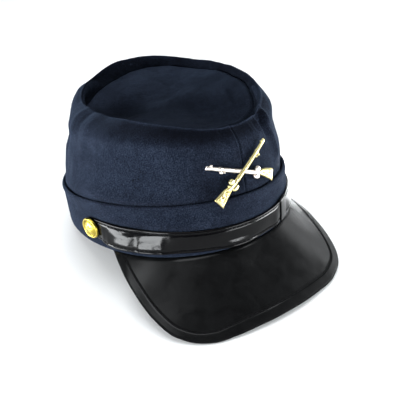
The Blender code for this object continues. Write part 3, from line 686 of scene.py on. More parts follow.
# just above the cuff the crown swells until it nearly fills it
SWELL = (
    # angle  out
    (-180.0, 0.2), (-150.0, 0.5), (-134.0, 0.7), (-112.0, 1.7), (-98.0, 3.9), (-80.0, 4.6), (-60.0, 3.7), (-40.0, 2.2),
    (-20.0, 0.9), (0.0, 0.4), (40.0, 0.5), (70.0, 0.3), (180.0, 0.2),
)
near_cuff = np.where(wall_z < 38.5, step(29.0, 36.0, wall_z), np.exp(-((wall_z - 38.5) / 8.5) ** 2))
out += eased(SWELL, turn_deg)[None, :] * near_cuff
held = 1.0
fine_wall = wall + wall_n * out[..., None]


def wander(th):
    """How far the seam round the top strays from a clean oval, in mm."""
    at = np.stack([np.cos(th) * 70, np.sin(th) * 70, 0 * th], -1)
    return 2.2 * rough(at, 21.0, 51) + 0.9 * rough(at, 8.0, 52) + (
        5.0 * near_angle(th, -117.0, 22.0) - 2.6 * near_angle(th, -168.0, 22.0) + 2.2 * near_angle(th, 148.0, 24.0))


def near_angle(th, angle, wide):
    return np.exp(-(round_off(np.degrees(th), angle) / wide) ** 2)


def climb(th):
    """How far the seam round the top rises and falls, in mm."""
    at = np.stack([np.cos(th) * 70, np.sin(th) * 70, 0 * th], -1)
    return 1.0 * rough(at, 16.0, 53) - 1.2 * near_angle(th, -165.0, 28.0) + 2.2 * near_angle(th, 150.0, 26.0)


def strayed(rows, u, th):
    """Moves the last rows of the wall in and out with the seam."""
    middle = rows[-1].mean(axis=0)
    radial_dir = rows[..., :2] - middle[:2]
    radial_dir = radial_dir / np.linalg.norm(radial_dir, axis=-1, keepdims=True)
    rows = rows.copy()
    late = step(99.5, 105.5, u)[:, None]
    rows[..., :2] += radial_dir * (wander(th)[None, :] * late)[..., None]
    rows[..., 2] += climb(th)[None, :] * late
    return rows


fine_wall = strayed(fine_wall, wall_u, turn_th)
# the cloth rolls down into the seam round the top
fine_wall[..., 2] -= 0.75 * np.exp(-((106.0 - wall_u) / 1.5) ** 2)[:, None]
# painted shading on the wall: painted shade over the front, round the band below the crest, just under the lip at the
# front and on the inner wall behind the crest, and a painted highlight as a thin light line along the crest at the
# front
front_rim = near_angle(turn_th, -4.0, 72.0)[None, :]
wall_painted_shading = 0.40 * near_angle(turn_th, -12.0, 26.0)[None, :] + step(80.0, 94.0, wall_u)[:, None] * (0.75 + 0.45 * front_rim) + 1.0 * np.exp(
    -((wall_u - 95.0) / 3.6) ** 2)[:, None] * front_rim + 0.70 * step(99.2, 101.0, wall_u)[:, None] * (
    step(0.25, 0.70, sharp_here)[None, :]) - 3.2 * np.exp(-((wall_u - 98.6) / 0.70) ** 2)[:, None] * front_rim

inner_u = np.concatenate([np.linspace(0, 88, 30, endpoint=False), np.linspace(88, 106, 13)])
inner_base = folded(spline(WALL_KNOTS, rings_here, inner_u), turn_th)
inner_n = grid_normals(inner_base)
slack = 0.35 * rough(inner_base, 20.0, 5)
for angle in (0.0, 180.0):   # turnings of the seams, pressed open inside
    off = abs(np.radians(round_off(turn_deg, angle))) * 86.0
    slack += 0.55 * (1 - step(6.4, 7.2, off))[None, :] - 0.5 * np.exp(-(off / 0.7) ** 2)[None, :]
free = np.clip(np.minimum(inner_u, 106.0 - inner_u) / 6.0, 0, 1)[:, None]
inner_wall = inner_base - inner_n * (CLOTH + slack.clip(-0.3, 0.8) * free)[..., None]

inner_wall = strayed(inner_wall, inner_u, turn_th)

crown = Shape()
arc_u = np.concatenate([[0], np.cumsum(np.linalg.norm(np.diff(wall, axis=0), axis=2).mean(axis=1))])
cloth_uv = np.stack([along_mm, np.repeat(arc_u[:, None], len(turn_deg), axis=1)], -1)
outer_at = crown.add_grid(fine_wall, cloth=cloth_uv, tone=wall_painted_shading)
arc_in = np.concatenate([[0], np.cumsum(np.linalg.norm(np.diff(inner_base, axis=0), axis=2).mean(axis=1))])
inner_uv = np.stack([np.repeat(turn_th[None, :] * 80.0, len(inner_u), axis=0),
                     np.repeat(arc_in[:, None], len(turn_deg), axis=1)], -1)
inner_at = crown.add_grid(inner_wall, flip=True, cloth=inner_uv)
n_col = len(turn_deg)
ids = np.arange(n_col)
hem = (fine_wall[0] + inner_wall[0]) / 2
hem[:, 2] -= 0.5
hem_at = crown.add_points(hem, cloth=cloth_uv[0])
crown.join_rings(hem_at + ids, outer_at + ids)
crown.join_rings(inner_at + ids, hem_at + ids)
crown.join_rings(outer_at + (len(wall_u) - 1) * n_col + ids, inner_at + (len(inner_u) - 1) * n_col + ids)
crown.build("crown_wall_cloth", crown_mat, ["crown_wall"])

# ---------------------------------------------------------------- round top
top_round = 240
top_th = np.linspace(-math.pi, math.pi, top_round, endpoint=False)
crease = ring("crease", top_th)
centre = ring("crease", np.linspace(-math.pi, math.pi, 72, endpoint=False)).mean(axis=0)
radial = crease[:, :2] - centre[:2]
reach = np.linalg.norm(radial, axis=1, keepdims=True)
top_f = np.concatenate([[1.0, 0.992, 0.982, 0.97, 0.955], np.linspace(0.94, 0.04, 56)])

WRINKLES = (
    # name            width  up     path in x, y
    ("slack_long",     5.6, -0.35, ((-18.0, 26.0), (0.0, 14.0), (20.0, 0.0))),
    ("slack_long_rim", 5.0,  0.25, ((-20.0, 30.5), (-2.0, 19.0), (17.0, 6.0))),
    ("slack_short",    5.0, -0.20, ((-6.0, 8.0), (8.0, -3.0), (18.0, -10.0))),
    ("slack_short_up", 5.0,  0.15, ((-10.0, 15.0), (4.0, 6.0), (14.0, -1.0))),
    ("pull_front",     2.3,  1.25, ((13.5, -22.0), (12.0, -36.0), (8.0, -50.0), (5.0, -60.0))),
    ("pull_front_low", 3.2, -1.05, ((19.0, -24.0), (18.0, -38.0), (15.0, -52.0))),
    ("pull_near",      2.6, -0.70, ((6.0, -26.0), (4.0, -40.0), (-1.0, -54.0))),
    ("pull_left",      2.4,  0.85, ((38.0, -24.0), (33.0, -40.0), (27.0, -54.0))),
    ("pull_left_low",  3.0, -0.85, ((45.0, -20.0), (40.0, -36.0), (33.0, -50.0))),
    ("pull_mid",       2.4,  0.50, ((27.0, -22.0), (24.0, -38.0), (21.0, -54.0))),
    ("rear",           3.2,  0.50, ((20.0, 44.0), (32.0, 30.0), (42.0, 12.0))),
)


def top_row(f, drop):
    scale = (reach * f - 0.5 * (f > 0.99) + wander(top_th)[:, None] * step(0.82, 1.0, f)) / reach
    xy = centre[:2] + radial * scale
    z = centre[2] + (crease[:, 2] - centre[2]) * f - TOP_SAG * (1 - f * f) + climb(top_th) * step(0.55, 1.0, f)
    return np.column_stack([xy, z - 0.2 - drop])


def wrinkled(rows, f):
    x, y = rows[..., 0], rows[..., 1]
    lift = np.zeros_like(x)
    for _, wide, high, path in WRINKLES:
        lift += 0.6 * high * stroke(x, y, path, wide, 8.0)
    lift += 1.3 * rough(rows, 22.0, 11) + 0.42 * rough(rows, 9.0, 12) + 0.10 * rough(rows, 3.5, 13)
    # slack hollow on the wearer's right, and the sag towards the back of the front edge
    lift -= 3.4 * np.exp(-(((x + 33.0) / 13.0) ** 2 + ((y - 12.0) / 26.0) ** 2))
    lift -= 1.6 * np.exp(-(((x - 2.0) / 30.0) ** 2 + ((y + 34.0) / 20.0) ** 2))
    lift += 1.6 * np.exp(-(((x - 10.0) / 26.0) ** 2 + ((y - 38.0) / 16.0) ** 2))
    free = step(0.0, 0.12, 1 - f)[:, None]
    lift *= free
    # the turned seam allowance makes a low welt just inside the seam
    from_seam = (1 - f)[:, None] * reach[:, 0][None, :]
    lift += 0.55 * np.exp(-((from_seam - 3.0) / 1.5) ** 2) - 0.60 * np.exp(-(from_seam / 1.3) ** 2)
    return lift


top = Shape()
upper = np.array([top_row(f, 0.0) for f in top_f])
lift = wrinkled(upper, top_f)
upper = upper.copy()
upper[..., 2] += lift
lower_f = np.concatenate([[0.965], np.linspace(0.92, 0.06, 18)])
lower = np.array([top_row(f, CLOTH) for f in lower_f])
lower = lower.copy()
lower[..., 2] += wrinkled(lower, lower_f).clip(-6, 0.6) * 0.9
# painted shading on the top: painted shade along the seam and in the slack hollow on the wearer's right, and painted
# light over much of its back part
near_seam = (1 - top_f)[:, None] * reach[:, 0][None, :]
top_painted_shading = 0.55 * np.exp(-(near_seam / 2.2) ** 2) + 0.10
top_painted_shading = top_painted_shading - 1.25 * step(-8.0, 52.0, upper[..., 1]) * step(-58.0, -30.0, upper[..., 0])
top_painted_shading = top_painted_shading + 2.0 * np.exp(-(((upper[..., 0] + 36.0) / 16.0) ** 2 + ((upper[..., 1] - 2.0) / 24.0) ** 2))
upper_at = top.add_grid(upper, cloth=upper[..., :2], tone=top_painted_shading)
lower_at = top.add_grid(lower, cloth=lower[..., :2])
ids = np.arange(top_round)
top.fan(upper_at + (len(top_f) - 1) * top_round + ids, upper[-1].mean(axis=0))
top.fan(lower_at + (len(lower_f) - 1) * top_round + ids, lower[-1].mean(axis=0))
# its edge is turned down and out under the wall, so that the seam is closed, and painted darker as shade in the seam
out_from = radial / reach
last_ring = upper_at + ids
for outward_mm, down_mm in ((-0.05, 1.3), (0.0, 2.6), (1.2, 2.9), (3.0, 2.7), (3.5, 3.2), (3.0, 3.7), (0.6, 3.9), (-1.6, 3.4)):
    row = upper[0].copy()
    row[:, :2] += out_from * outward_mm
    row[:, 2] -= down_mm
    turned_at = top.add_points(row, cloth=row[:, :2], tone=np.full(top_round, 0.8))
    top.join_rings(last_ring, turned_at + ids)
    last_ring = turned_at + ids
top.join_rings(last_ring, lower_at + ids)
top.build("crown_top_cloth", top_mat, ["crown_top"])

# ---------------------------------------------------------------- cuff
cuff_deg = columns(((-180, -178, 0.5), (-178, 178, 0.9), (178, 180, 0.5)))
cuff_th = np.radians(cuff_deg)
half = CUFF_CLOTH / 2
section = [(h, 0.0) for h in np.linspace(half, CUFF_HEIGHT - half, 44)]
section += [(CUFF_HEIGHT - half + half * math.sin(a), half - half * math.cos(a))
            for a in np.radians((22, 45, 68, 90, 112, 135, 158))]
section += [(h, CUFF_CLOTH) for h in np.linspace(CUFF_HEIGHT - half, half, 22)]
section += [(half - half * math.sin(a), half + half * math.cos(a)) for a in np.radians((30, 60, 90, 120, 150))]

cuff_rows, cuff_arc, gone, before = [], [], 0.0, section[0]
for h, deep in section:
    at = np.full_like(cuff_th, h)
    normal = cuff_normal(cuff_th, at.clip(1, CUFF_HEIGHT - 1))
    skin = 1 - deep / CUFF_CLOTH          # 1 on the outer face, 0 on the inner
    p = cuff(cuff_th, at)
    swell = 0.45 * np.exp(-((h - (CUFF_HEIGHT - 2.6)) / 2.6) ** 2)      # the fold along the top
    swell += 0.22 * np.exp(-((h - 2.2) / 1.6) ** 2)                      # the hem
    swell -= 0.20 * np.exp(-((h - (CUFF_HEIGHT - 7.5)) / 2.2) ** 2)
    wavy = 0.38 * rough(p, 26.0, 21) + 0.18 * rough(p, 9.0, 22) + 0.06 * rough(p, 3.5, 23)
    free = step(16.0, 24.0, h)
    seam = abs(np.radians(round_off(cuff_deg, 180.0))) * 100.0
    groove = -0.7 * np.exp(-(seam / 0.6) ** 2) + 0.30 * np.exp(-((seam - 1.9) / 1.2) ** 2)
    out = (swell + (wavy + groove) * (0.25 + 0.75 * free)) * skin
    tuck = 3.0 * np.exp(-(round_off(cuff_deg, -122.0) / 24.0) ** 2) * step(8.0, CUFF_HEIGHT, h)
    p = p - normal * deep + normal * (out - tuck)[:, None]
    p[:, 2] += 0.55 * rough(np.stack([np.cos(cuff_th) * 100, np.sin(cuff_th) * 100, 0 * cuff_th], -1), 34.0, 24) * (
        max(0.0, h - 24.0) / (CUFF_HEIGHT - 24.0))
    cuff_rows.append(p)
    gone += math.hypot(h - before[0], deep - before[1])
    before = (h, deep)
    cuff_arc.append(gone)
cuff_rows = np.array(cuff_rows)
cuff_uv = np.stack([np.repeat(cuff_th[None, :] * 92.0, len(section), axis=0),
                    np.repeat(np.array(cuff_arc)[:, None], len(cuff_th), axis=1)], -1)
band = Shape()
band.add_grid(cuff_rows, cloth=cuff_uv, wrap_rows=True)
band.build("cuff_cloth_band", cuff_mat, ["band"])

# ---------------------------------------------------------------- peak
angles = [a for a, _ in PEAK_REACH]
reaches = [r for _, r in PEAK_REACH]
peak_angles = [-a for a in reversed(angles)] + angles[1:]
peak_reaches = list(reversed(reaches)) + reaches[1:]
steps = np.arange(len(peak_angles), dtype=float)
PEAK_COLUMNS = 261
fine = np.linspace(0, steps[-1], PEAK_COLUMNS)
peak_th = np.radians(spline(steps, peak_angles, fine))
peak_len = np.maximum(spline(steps, peak_reaches, fine), 1.0)
# the edge is trimmed a little closer beside the front, as (angle, mm)
TRIM = (
    (-70.0, 0.0), (-62.0, 2.3), (-57.0, 3.0), (-51.0, 1.9), (-44.0, 0.7), (-37.0, 0.0), (-31.0, 0.2), (-22.0, 1.1),
    (-10.0, 1.9), (5.0, 2.2), (20.0, 2.2), (33.0, 1.5), (42.0, 0.3), (55.0, 1.3), (62.0, 0.6), (70.0, 0.0),
)
peak_len = peak_len - eased(TRIM, np.degrees(peak_th))
end_taper = np.clip((np.radians(PEAK_END) - np.abs(peak_th)) / 0.35, 0, 1)
rim_out = ring("cuff_rim", peak_th)
outward = cuff_normal(peak_th, np.zeros_like(peak_th))
outward[:, 2] = 0
outward = unit(outward)
# the two ends draw in under the cuff
rim_out = rim_out - outward * (1.7 * (1 - step(0.0, 8.0, PEAK_END - abs(np.degrees(peak_th)))))[:, None]
slope = np.radians(PEAK_SLOPE - PEAK_SLOPE_SIDE * peak_th**2)
fan = PEAK_SPREAD * peak_th
ruling = np.column_stack([np.sin(fan) * np.cos(slope), -np.cos(fan) * np.cos(slope), -np.sin(slope)])


def peak_at(inset, height):
    p = rim_out - outward * inset
    p[:, 2] = height
    return p


def peak_reach_point(s):
    """Top face of the peak at the distance s along each ruling."""
    f = (s - 0.9) / np.maximum(peak_len - 0.9, 0.05)
    row = rim_out + ruling * s[:, None]
    row[:, 2] -= 0.3 * (1 - f.clip(0, 1))
    return row


outline = peak_reach_point(peak_len)
# distance from the outer edge, read along every ruling, so that the border can follow it
samples = np.linspace(0, 1, 90)
BORDER = 7.6
# the border is narrower along the sides than at the front
border_share = 1 - 0.28 * step(12.0, 40.0, -np.degrees(peak_th)) - 0.10 * step(12.0, 40.0, np.degrees(peak_th))
far = np.empty((len(samples), PEAK_COLUMNS))
for i, t in enumerate(samples):
    row = peak_reach_point(peak_len * t)
    a, b = outline[:-1], outline[1:]
    ab = b - a
    rel = row[:, None, :] - a[None, :, :]
    k = np.clip((rel * ab).sum(-1) / (ab * ab).sum(-1), 0, 1)
    far[i] = np.linalg.norm(rel - ab * k[..., None], axis=-1).min(axis=1) / border_share
edge_rows = np.array([0.0, 0.35, 0.8, 1.4, 2.4, 3.8, 5.2, 6.3, 6.75, 7.05, 7.35, 7.6, 7.85, 8.15, 8.5, 9.2, 10.6])
lengths = []
for d in edge_rows:
    inside_edge = np.empty(PEAK_COLUMNS)
    for c in range(PEAK_COLUMNS):
        column = far[::-1, c]
        deep = np.maximum.accumulate(column)
        inside_edge[c] = np.interp(d, deep, samples) if deep[-1] > d else 1.0
    lengths.append(peak_len * (1 - inside_edge))
lengths = np.array(lengths)
least = np.minimum(0.9, peak_len * 0.5)
for i in range(len(lengths)):            # where the border runs out under the cuff, rows close up
    floor = least + (len(lengths) - i) * 0.004
    lengths[i] = np.maximum(lengths[i], floor)
lengths[0] = np.maximum(peak_len, lengths[1] + 0.004)
inner_t = np.linspace(1, 0, 22)[1:]
inner_rows = [least + (lengths[-1] - least) * t for t in inner_t]
all_s = list(lengths) + inner_rows

top_rows = np.array([peak_reach_point(s) for s in all_s])      # from the outer edge inward
peak_n = grid_normals(top_rows[::-1], closed=False)[::-1]
if peak_n[:, PEAK_COLUMNS // 2, 2].mean() < 0:
    peak_n = -peak_n
full = np.flatnonzero(peak_len > 8.0)          # the narrow ends take the direction of the sound part beside them
for side_cols, ref in ((range(0, full[0]), full[0]), (range(full[-1] + 1, PEAK_COLUMNS), full[-1])):
    for c in side_cols:
        peak_n[:, c] = peak_n[:, ref]
dist = np.empty(top_rows.shape[:2])
for i in range(len(all_s)):
    for c in range(0, PEAK_COLUMNS):
        t = all_s[i][c] / peak_len[c]
        dist[i, c] = np.interp(t, samples, far[:, c])
welt = 0.16 * step(0.0, 0.8, dist) * (1 - step(6.2, 7.5, dist))
groove = -0.15 * np.exp(-((dist - BORDER) / 0.55) ** 2)
ripple = 0.12 * rough(top_rows, 24.0, 31) + 0.04 * rough(top_rows, 7.0, 32)
fade = step(0.5, 4.0, np.array(all_s))
top_skin = top_rows + peak_n * ((welt + groove + ripple) * fade)[..., None]

# rounded outer edge, then the under face, then the sewing flange inside the cap
edge_out = unit(np.cross(np.gradient(outline, axis=0), peak_n[0]))
if (edge_out * ruling).sum(axis=1).mean() < 0:
    edge_out = -edge_out
half_t = PEAK_THICK / 2
rounded = []
for a in (25, 50, 75, 100, 125, 150):
    a = math.radians(a)
    rounded.append(outline - peak_n[0] * half_t + peak_n[0] * half_t * math.cos(a)
                   + edge_out * (0.70 * math.sin(a) * step(1.0, 8.0, peak_len))[:, None])
under = top_rows - peak_n * PEAK_THICK
under_welt = 0.25 * step(0.0, 1.6, dist) * (1 - step(5.6, 7.3, dist)) - 0.35 * np.exp(-((dist - BORDER) / 0.42) ** 2)
under = under - peak_n * ((under_welt + 0.08 * rough(under, 9.0, 33)) * fade)[..., None]

inside = CUFF_CLOTH + CLOTH + 3 * GAP + 1.1
flange_top = 2.0 + (PEAK_FLANGE - 2.0) * end_taper
flange = [
    peak_at(0.5, -0.5), peak_at(inside - 0.7, -0.45), peak_at(inside, 0.6),
    peak_at(inside, 0.6 + (flange_top - 0.6) * 0.5), peak_at(inside, flange_top - 0.4),
]
flange_back = [
    peak_at(inside + 0.5, flange_top), peak_at(inside + 1.2, flange_top), peak_at(inside + 1.7, flange_top - 0.4),
    peak_at(inside + PEAK_THICK, 0.6 + (flange_top - 0.6) * 0.5), peak_at(inside + PEAK_THICK, 0.2),
    peak_at(inside + 1.1, -1.9), peak_at(inside - 0.4, -2.4), peak_at(0.9, -2.45),
]
loop_rows = list(top_skin) + flange + flange_back + list(under[::-1]) + rounded[::-1]
loop_rows = np.array(loop_rows)
peak_arc = np.concatenate([[0], np.cumsum(np.linalg.norm(np.diff(loop_rows, axis=0), axis=2).max(axis=1))])
peak_uv = np.stack([np.repeat(peak_th[None, :] * 100.0, len(loop_rows), axis=0),
                    np.repeat(peak_arc[:, None], PEAK_COLUMNS, axis=1)], -1)
peak = Shape()
peak_start = peak.add_grid(loop_rows, closed=False, cloth=peak_uv, wrap_rows=True)
for column in (0, PEAK_COLUMNS - 1):
    ids = [peak_start + r * PEAK_COLUMNS + column for r in range(len(loop_rows))]
    peak.fan(ids, loop_rows[:, column].mean(axis=0))
skin = peak.build("peak_vinyl_skin", peak_mat, ["peak"])
skin.data.materials.append(edge_mat)         # the cut edge is painted, not glossy
dull_rows = [0, 1] + list(range(8, 15)) + list(range(len(loop_rows) - len(rounded), len(loop_rows)))
for row in dull_rows:                        # so is the sewn groove of the border
    for face in range((PEAK_COLUMNS - 1) * row, (PEAK_COLUMNS - 1) * (row + 1)):
        skin.data.polygons[face].material_index = 1


def spaced(points, pitch, *others):
    """Places at an even pitch along a line of points, with the line's direction there."""
    d = np.concatenate([[0], np.cumsum(np.linalg.norm(np.diff(points, axis=0), axis=1))])
    at = np.arange(pitch / 2, d[-1], pitch)
    read = lambda v: np.stack([np.interp(at, d, v[:, i]) for i in range(3)], -1)
    tangent = unit(np.gradient(points, axis=0))
    return [read(points), unit(read(tangent))] + [read(v) for v in others]


border_row = int(np.argmin(abs(edge_rows - BORDER)))
line = top_skin[border_row]
keep = lengths[border_row] > 2.4
seam_stitches = Shape()
for at, along, normal in zip(*spaced(line[keep], 3.6, peak_n[border_row][keep])):
    capsule(seam_stitches, at + normal * 0.14, along, normal, 2.5, 0.30, bow=0.12)
line = under[border_row]
for at, along, normal in zip(*spaced(line[keep], 3.6, -peak_n[border_row][keep])):
    capsule(seam_stitches, at + normal * 0.10, along, normal, 2.5, 0.30, bow=0.10)
seam_stitches.build("peak_stitching", black_thread)

# ---------------------------------------------------------------- chin strap
button_first, button_last = (math.radians(a) for a in BUTTON_ANGLES)
end_run = math.radians(STRAP_ROUND / 1.72)
end_steps = end_run * np.sin(np.radians(np.array([12, 24, 36, 48, 60, 70, 78, 84, 88, 90])))
strap_th = np.concatenate([button_first - end_steps[::-1], np.linspace(button_first, button_last, 281),
                           button_last + end_steps])
past = np.maximum(button_first - strap_th, strap_th - button_last).clip(0) / end_run
half_width = STRAP_WIDTH / 2 * np.sqrt(np.maximum(1 - past**2, 0.02))
mid_h = strap_mid(strap_th)
# across the strap, and how far off its back: a crowned face with a stitched, rounded edge
STRAP_SECTION = (
    # across  off the back
    (-1.000, 0.55), (-0.995, 0.85), (-0.975, 1.12), (-0.94, 1.28), (-0.88, 1.34), (-0.82, 1.30), (-0.775, 1.16),
    (-0.745, 1.16), (-0.70, 1.32), (-0.62, 1.43), (-0.50, 1.49), (-0.34, 1.53), (-0.17, 1.55), (0.0, 1.56),
    (0.17, 1.55), (0.34, 1.53), (0.50, 1.49), (0.62, 1.43), (0.70, 1.32), (0.745, 1.16), (0.775, 1.16),
    (0.82, 1.30), (0.88, 1.34), (0.94, 1.28), (0.975, 1.12), (0.995, 0.85), (1.000, 0.55),
    (0.985, 0.20), (0.95, 0.02), (0.80, 0.0), (0.40, 0.0), (0.0, 0.0), (-0.40, 0.0), (-0.80, 0.0),
    (-0.95, 0.02), (-0.985, 0.20),
)
# where it turns towards the wearer's right its lower edge stands off, as (angle, mm)
TWIST = (
    (-90.0, 0.0), (-72.0, 0.3), (-69.5, 0.9), (-66.0, 2.8), (-63.0, 4.2), (-60.0, 4.8), (-55.6, 4.8), (-50.6, 3.5),
    (-46.0, 2.8), (-41.0, 1.9), (-37.0, 1.1), (-31.0, 0.3), (-24.0, 0.0), (90.0, 0.0),
)
lift = strap_lift(strap_th)
strap_rows = []
for v, off in STRAP_SECTION:
    h = mid_h + v * half_width
    base = cuff(strap_th, h)
    normal = cuff_normal(strap_th, h)
    p = base + normal * (lift + off)[:, None]
    face = step(0.3, 1.1, off)
    # crowned all along, most where it turns towards the button, its lower edge standing off there
    away = 1 - np.exp(-((np.degrees(strap_th) - KEEPER_ANGLE) / 6.5) ** 4)
    deg = np.degrees(strap_th)
    turned = np.exp(-(abs(deg + 49.0) / 17.5) ** 3)
    cupped = np.exp(-(abs(deg + 6.0) / 9.5) ** 3)
    rolled = np.exp(-((deg + 45.0) / 9.0) ** 4) + 0.4 * np.exp(-((deg + 61.0) / 6.0) ** 4)
    leaning = np.exp(-((deg - 36.0) / 11.0) ** 2) * away + 0.8 * np.exp(-((deg - 18.5) / 4.0) ** 2) * away
    low = 0.5 - 0.5 * v
    twist = eased(TWIST, deg)
    p += normal * (((0.32 - 0.30 * turned) * (1 - v * v) * face * away
                    + (twist + 1.9 * leaning) * low + 1.0 * rolled * low**2
                    + 4.7 * cupped * (low - 0.60) * step(-0.05, 0.08, low - 0.60)) * (1 - past))[:, None]
    # crinkled where it was bent on the wearer's right, faintly rippled elsewhere
    crinkle = np.exp(-((deg + 52.0) / 12.0) ** 2) + 0.45 * cupped
    q = np.stack([deg * 0.62, h * 3.2, 0 * h], -1)
    q2 = np.stack([deg * 1.6, h * 1.1, 0 * h], -1)
    wave = rough(q, 8.0, 41) * (0.03 + 0.24 * crinkle) + rough(q2, 22.0, 42) * 0.16
    p += normal * (wave * face * (1 - 0.6 * past))[:, None]
    strap_rows.append(p)
strap_rows = np.array(strap_rows)
strap = Shape()
strap_arc = np.array([v for v, _ in STRAP_SECTION]) * 7.7
strap_uv = np.stack([np.repeat(strap_th[None, :] * 95.0, len(STRAP_SECTION), axis=0),
                     np.repeat(strap_arc[:, None], len(strap_th), axis=1)], -1)
strap_at = strap.add_grid(strap_rows, closed=False, cloth=strap_uv, wrap_rows=True)
for column in (0, len(strap_th) - 1):
    ids = [strap_at + r * len(strap_th) + column for r in range(len(STRAP_SECTION))]
    strap.fan(ids, strap_rows[:, column].mean(axis=0))
strap.build("chin_strap_patent", patent_mat, ["chin_strap"])

stitched = (strap_th > button_first) & (strap_th < button_last)
strap_stitches = Shape()
for v, row in ((-0.76, 6), (0.76, 19)):
    line = (strap_rows[row] + strap_rows[row + 1]) / 2
    normal = cuff_normal(strap_th, mid_h)
    for at, along, out_dir in zip(*spaced(line[stitched], 3.1, normal[stitched])):
        capsule(strap_stitches, at + out_dir * 0.10, along, out_dir, 2.1, 0.26, bow=0.14)
strap_stitches.build("chin_strap_stitching", black_thread)

# ---------------------------------------------------------------- keeper loop
keep_deg = np.linspace(-1, 1, 15)
keep_th = np.radians(KEEPER_ANGLE + KEEPER_HALF * keep_deg)
low_n = 0.20 + KEEPER_WALL / 2
high_n = GAP + KEEPER_WALL + 0.15 + STRAP_THICK + 0.20 + KEEPER_WALL / 2
half_v = STRAP_WIDTH / 2 + 0.2 + KEEPER_WALL / 2


def loop_section(grow):
    """The loop round the strap, its wall grown outward by grow: (across the strap, off the cuff)."""
    hv, lo, hi, r = half_v + grow, low_n - grow, high_n + grow, 0.75 + grow
    pts = []
    for cx, cy, a0 in ((hv - r, hi - r, 0), (-hv + r, hi - r, 90), (-hv + r, lo + r, 180), (hv - r, lo + r, 270)):
        for a in np.radians(a0 + np.array([0, 22, 45, 68, 90])):
            pts.append((cx + r * math.cos(a), cy + r * math.sin(a)))
        if a0 in (0, 180):
            span = (hv - r) * 2
            sign = -1 if a0 == 0 else 1
            y = hi if a0 == 0 else lo
            for t in (0.2, 0.4, 0.6, 0.8):
                crown_up = 0.18 * math.sin(math.pi * t) * (1 if a0 == 0 else 0)
                pts.append((sign * (-(hv - r) + span * t), y + crown_up))
    return np.array(pts)


keeper_rows = []
wall_steps = [(-0.35, 1.0), (-0.10, 0.985), (0.10, 0.985), (0.35, 1.0)]
outer_sec, inner_sec = loop_section(KEEPER_WALL / 2), loop_section(-KEEPER_WALL / 2)


def keeper_ring(th, sec):
    t1 = np.full(len(sec), th)
    mid = strap_mid(t1)
    n = cuff_normal(t1, mid)
    rise = unit(cuff(t1, mid + 1.0) - cuff(t1, mid))
    return cuff(t1, mid) + rise * sec[:, :1] + n * sec[:, 1:]


rings_out = np.array([keeper_ring(t, outer_sec) for t in keep_th])
rings_in = np.array([keeper_ring(t, inner_sec) for t in keep_th])
# the side edges are rounded
mid_sec = (outer_sec + inner_sec) / 2
over = math.radians(KEEPER_HALF * 0.06)
first = keeper_ring(keep_th[0] - over, mid_sec)
last = keeper_ring(keep_th[-1] + over, mid_sec)
keeper_loop = np.concatenate([rings_out, [last], rings_in[::-1], [first]])
keeper = Shape()
keeper.add_grid(keeper_loop, wrap_rows=True)
keeper.build("keeper_loop_patent", keeper_mat, ["strap_keeper"])


# ---------------------------------------------------------------- buttons
def frame_on(point, normal, turn=0.0):
    """Placement (cap frame, mm) with local Z along the normal and local Y as upright as it can be."""
    z = Vector(normal).normalized()
    x = Vector((0, 0, 1)).cross(z).normalized()
    y = z.cross(x)
    m = Matrix((x, y, z)).transposed().to_4x4()
    return np.array(Matrix.Translation(Vector(point)) @ m @ Matrix.Rotation(math.radians(turn), 4, "Z"))


def placed(matrix, points):
    points = np.asarray(points, float)
    return points @ matrix[:3, :3].T + matrix[:3, 3]


BUTTON_FACE = (
    # radius  height  tone
    (0.35, 3.62, 0.62), (0.9, 3.60, 0.60), (1.5, 3.52, 0.58), (2.1, 3.42, 0.55), (2.7, 3.28, 0.52), (3.3, 3.10, 0.50),
    (3.8, 2.90, 0.48), (4.2, 2.72, 0.45), (4.55, 2.50, 0.38), (4.75, 2.34, 0.24), (4.95, 2.30, 0.30), (5.15, 2.38, 0.55),
    (5.35, 2.34, 0.50), (5.5, 2.10, 0.30), (5.65, 1.78, 0.15), (5.9, 1.58, 0.05), (6.15, 1.62, 0.12), (6.35, 1.88, 0.30),
    (6.6, 2.22, 0.50), (6.9, 2.42, 0.62), (7.25, 2.44, 0.62), (7.55, 2.28, 0.52), (7.8, 1.95, 0.40), (7.97, 1.5, 0.35),
    (8.0, 1.05, 0.50), (7.93, 0.6, 0.40), (7.7, 0.25, 0.35), (7.2, 0.02, 0.30), (4.5, 0.0, 0.30), (1.7, 0.0, 0.30),
    (1.5, -0.3, 0.30), (1.5, -4.0, 0.30), (1.5, -9.5, 0.30), (1.8, -9.8, 0.30), (4.3, -9.82, 0.30), (4.5, -10.1, 0.35),
    (4.4, -10.45, 0.35), (4.0, -10.6, 0.35), (1.2, -10.6, 0.35),
)
BUTTON_STEPS = 72
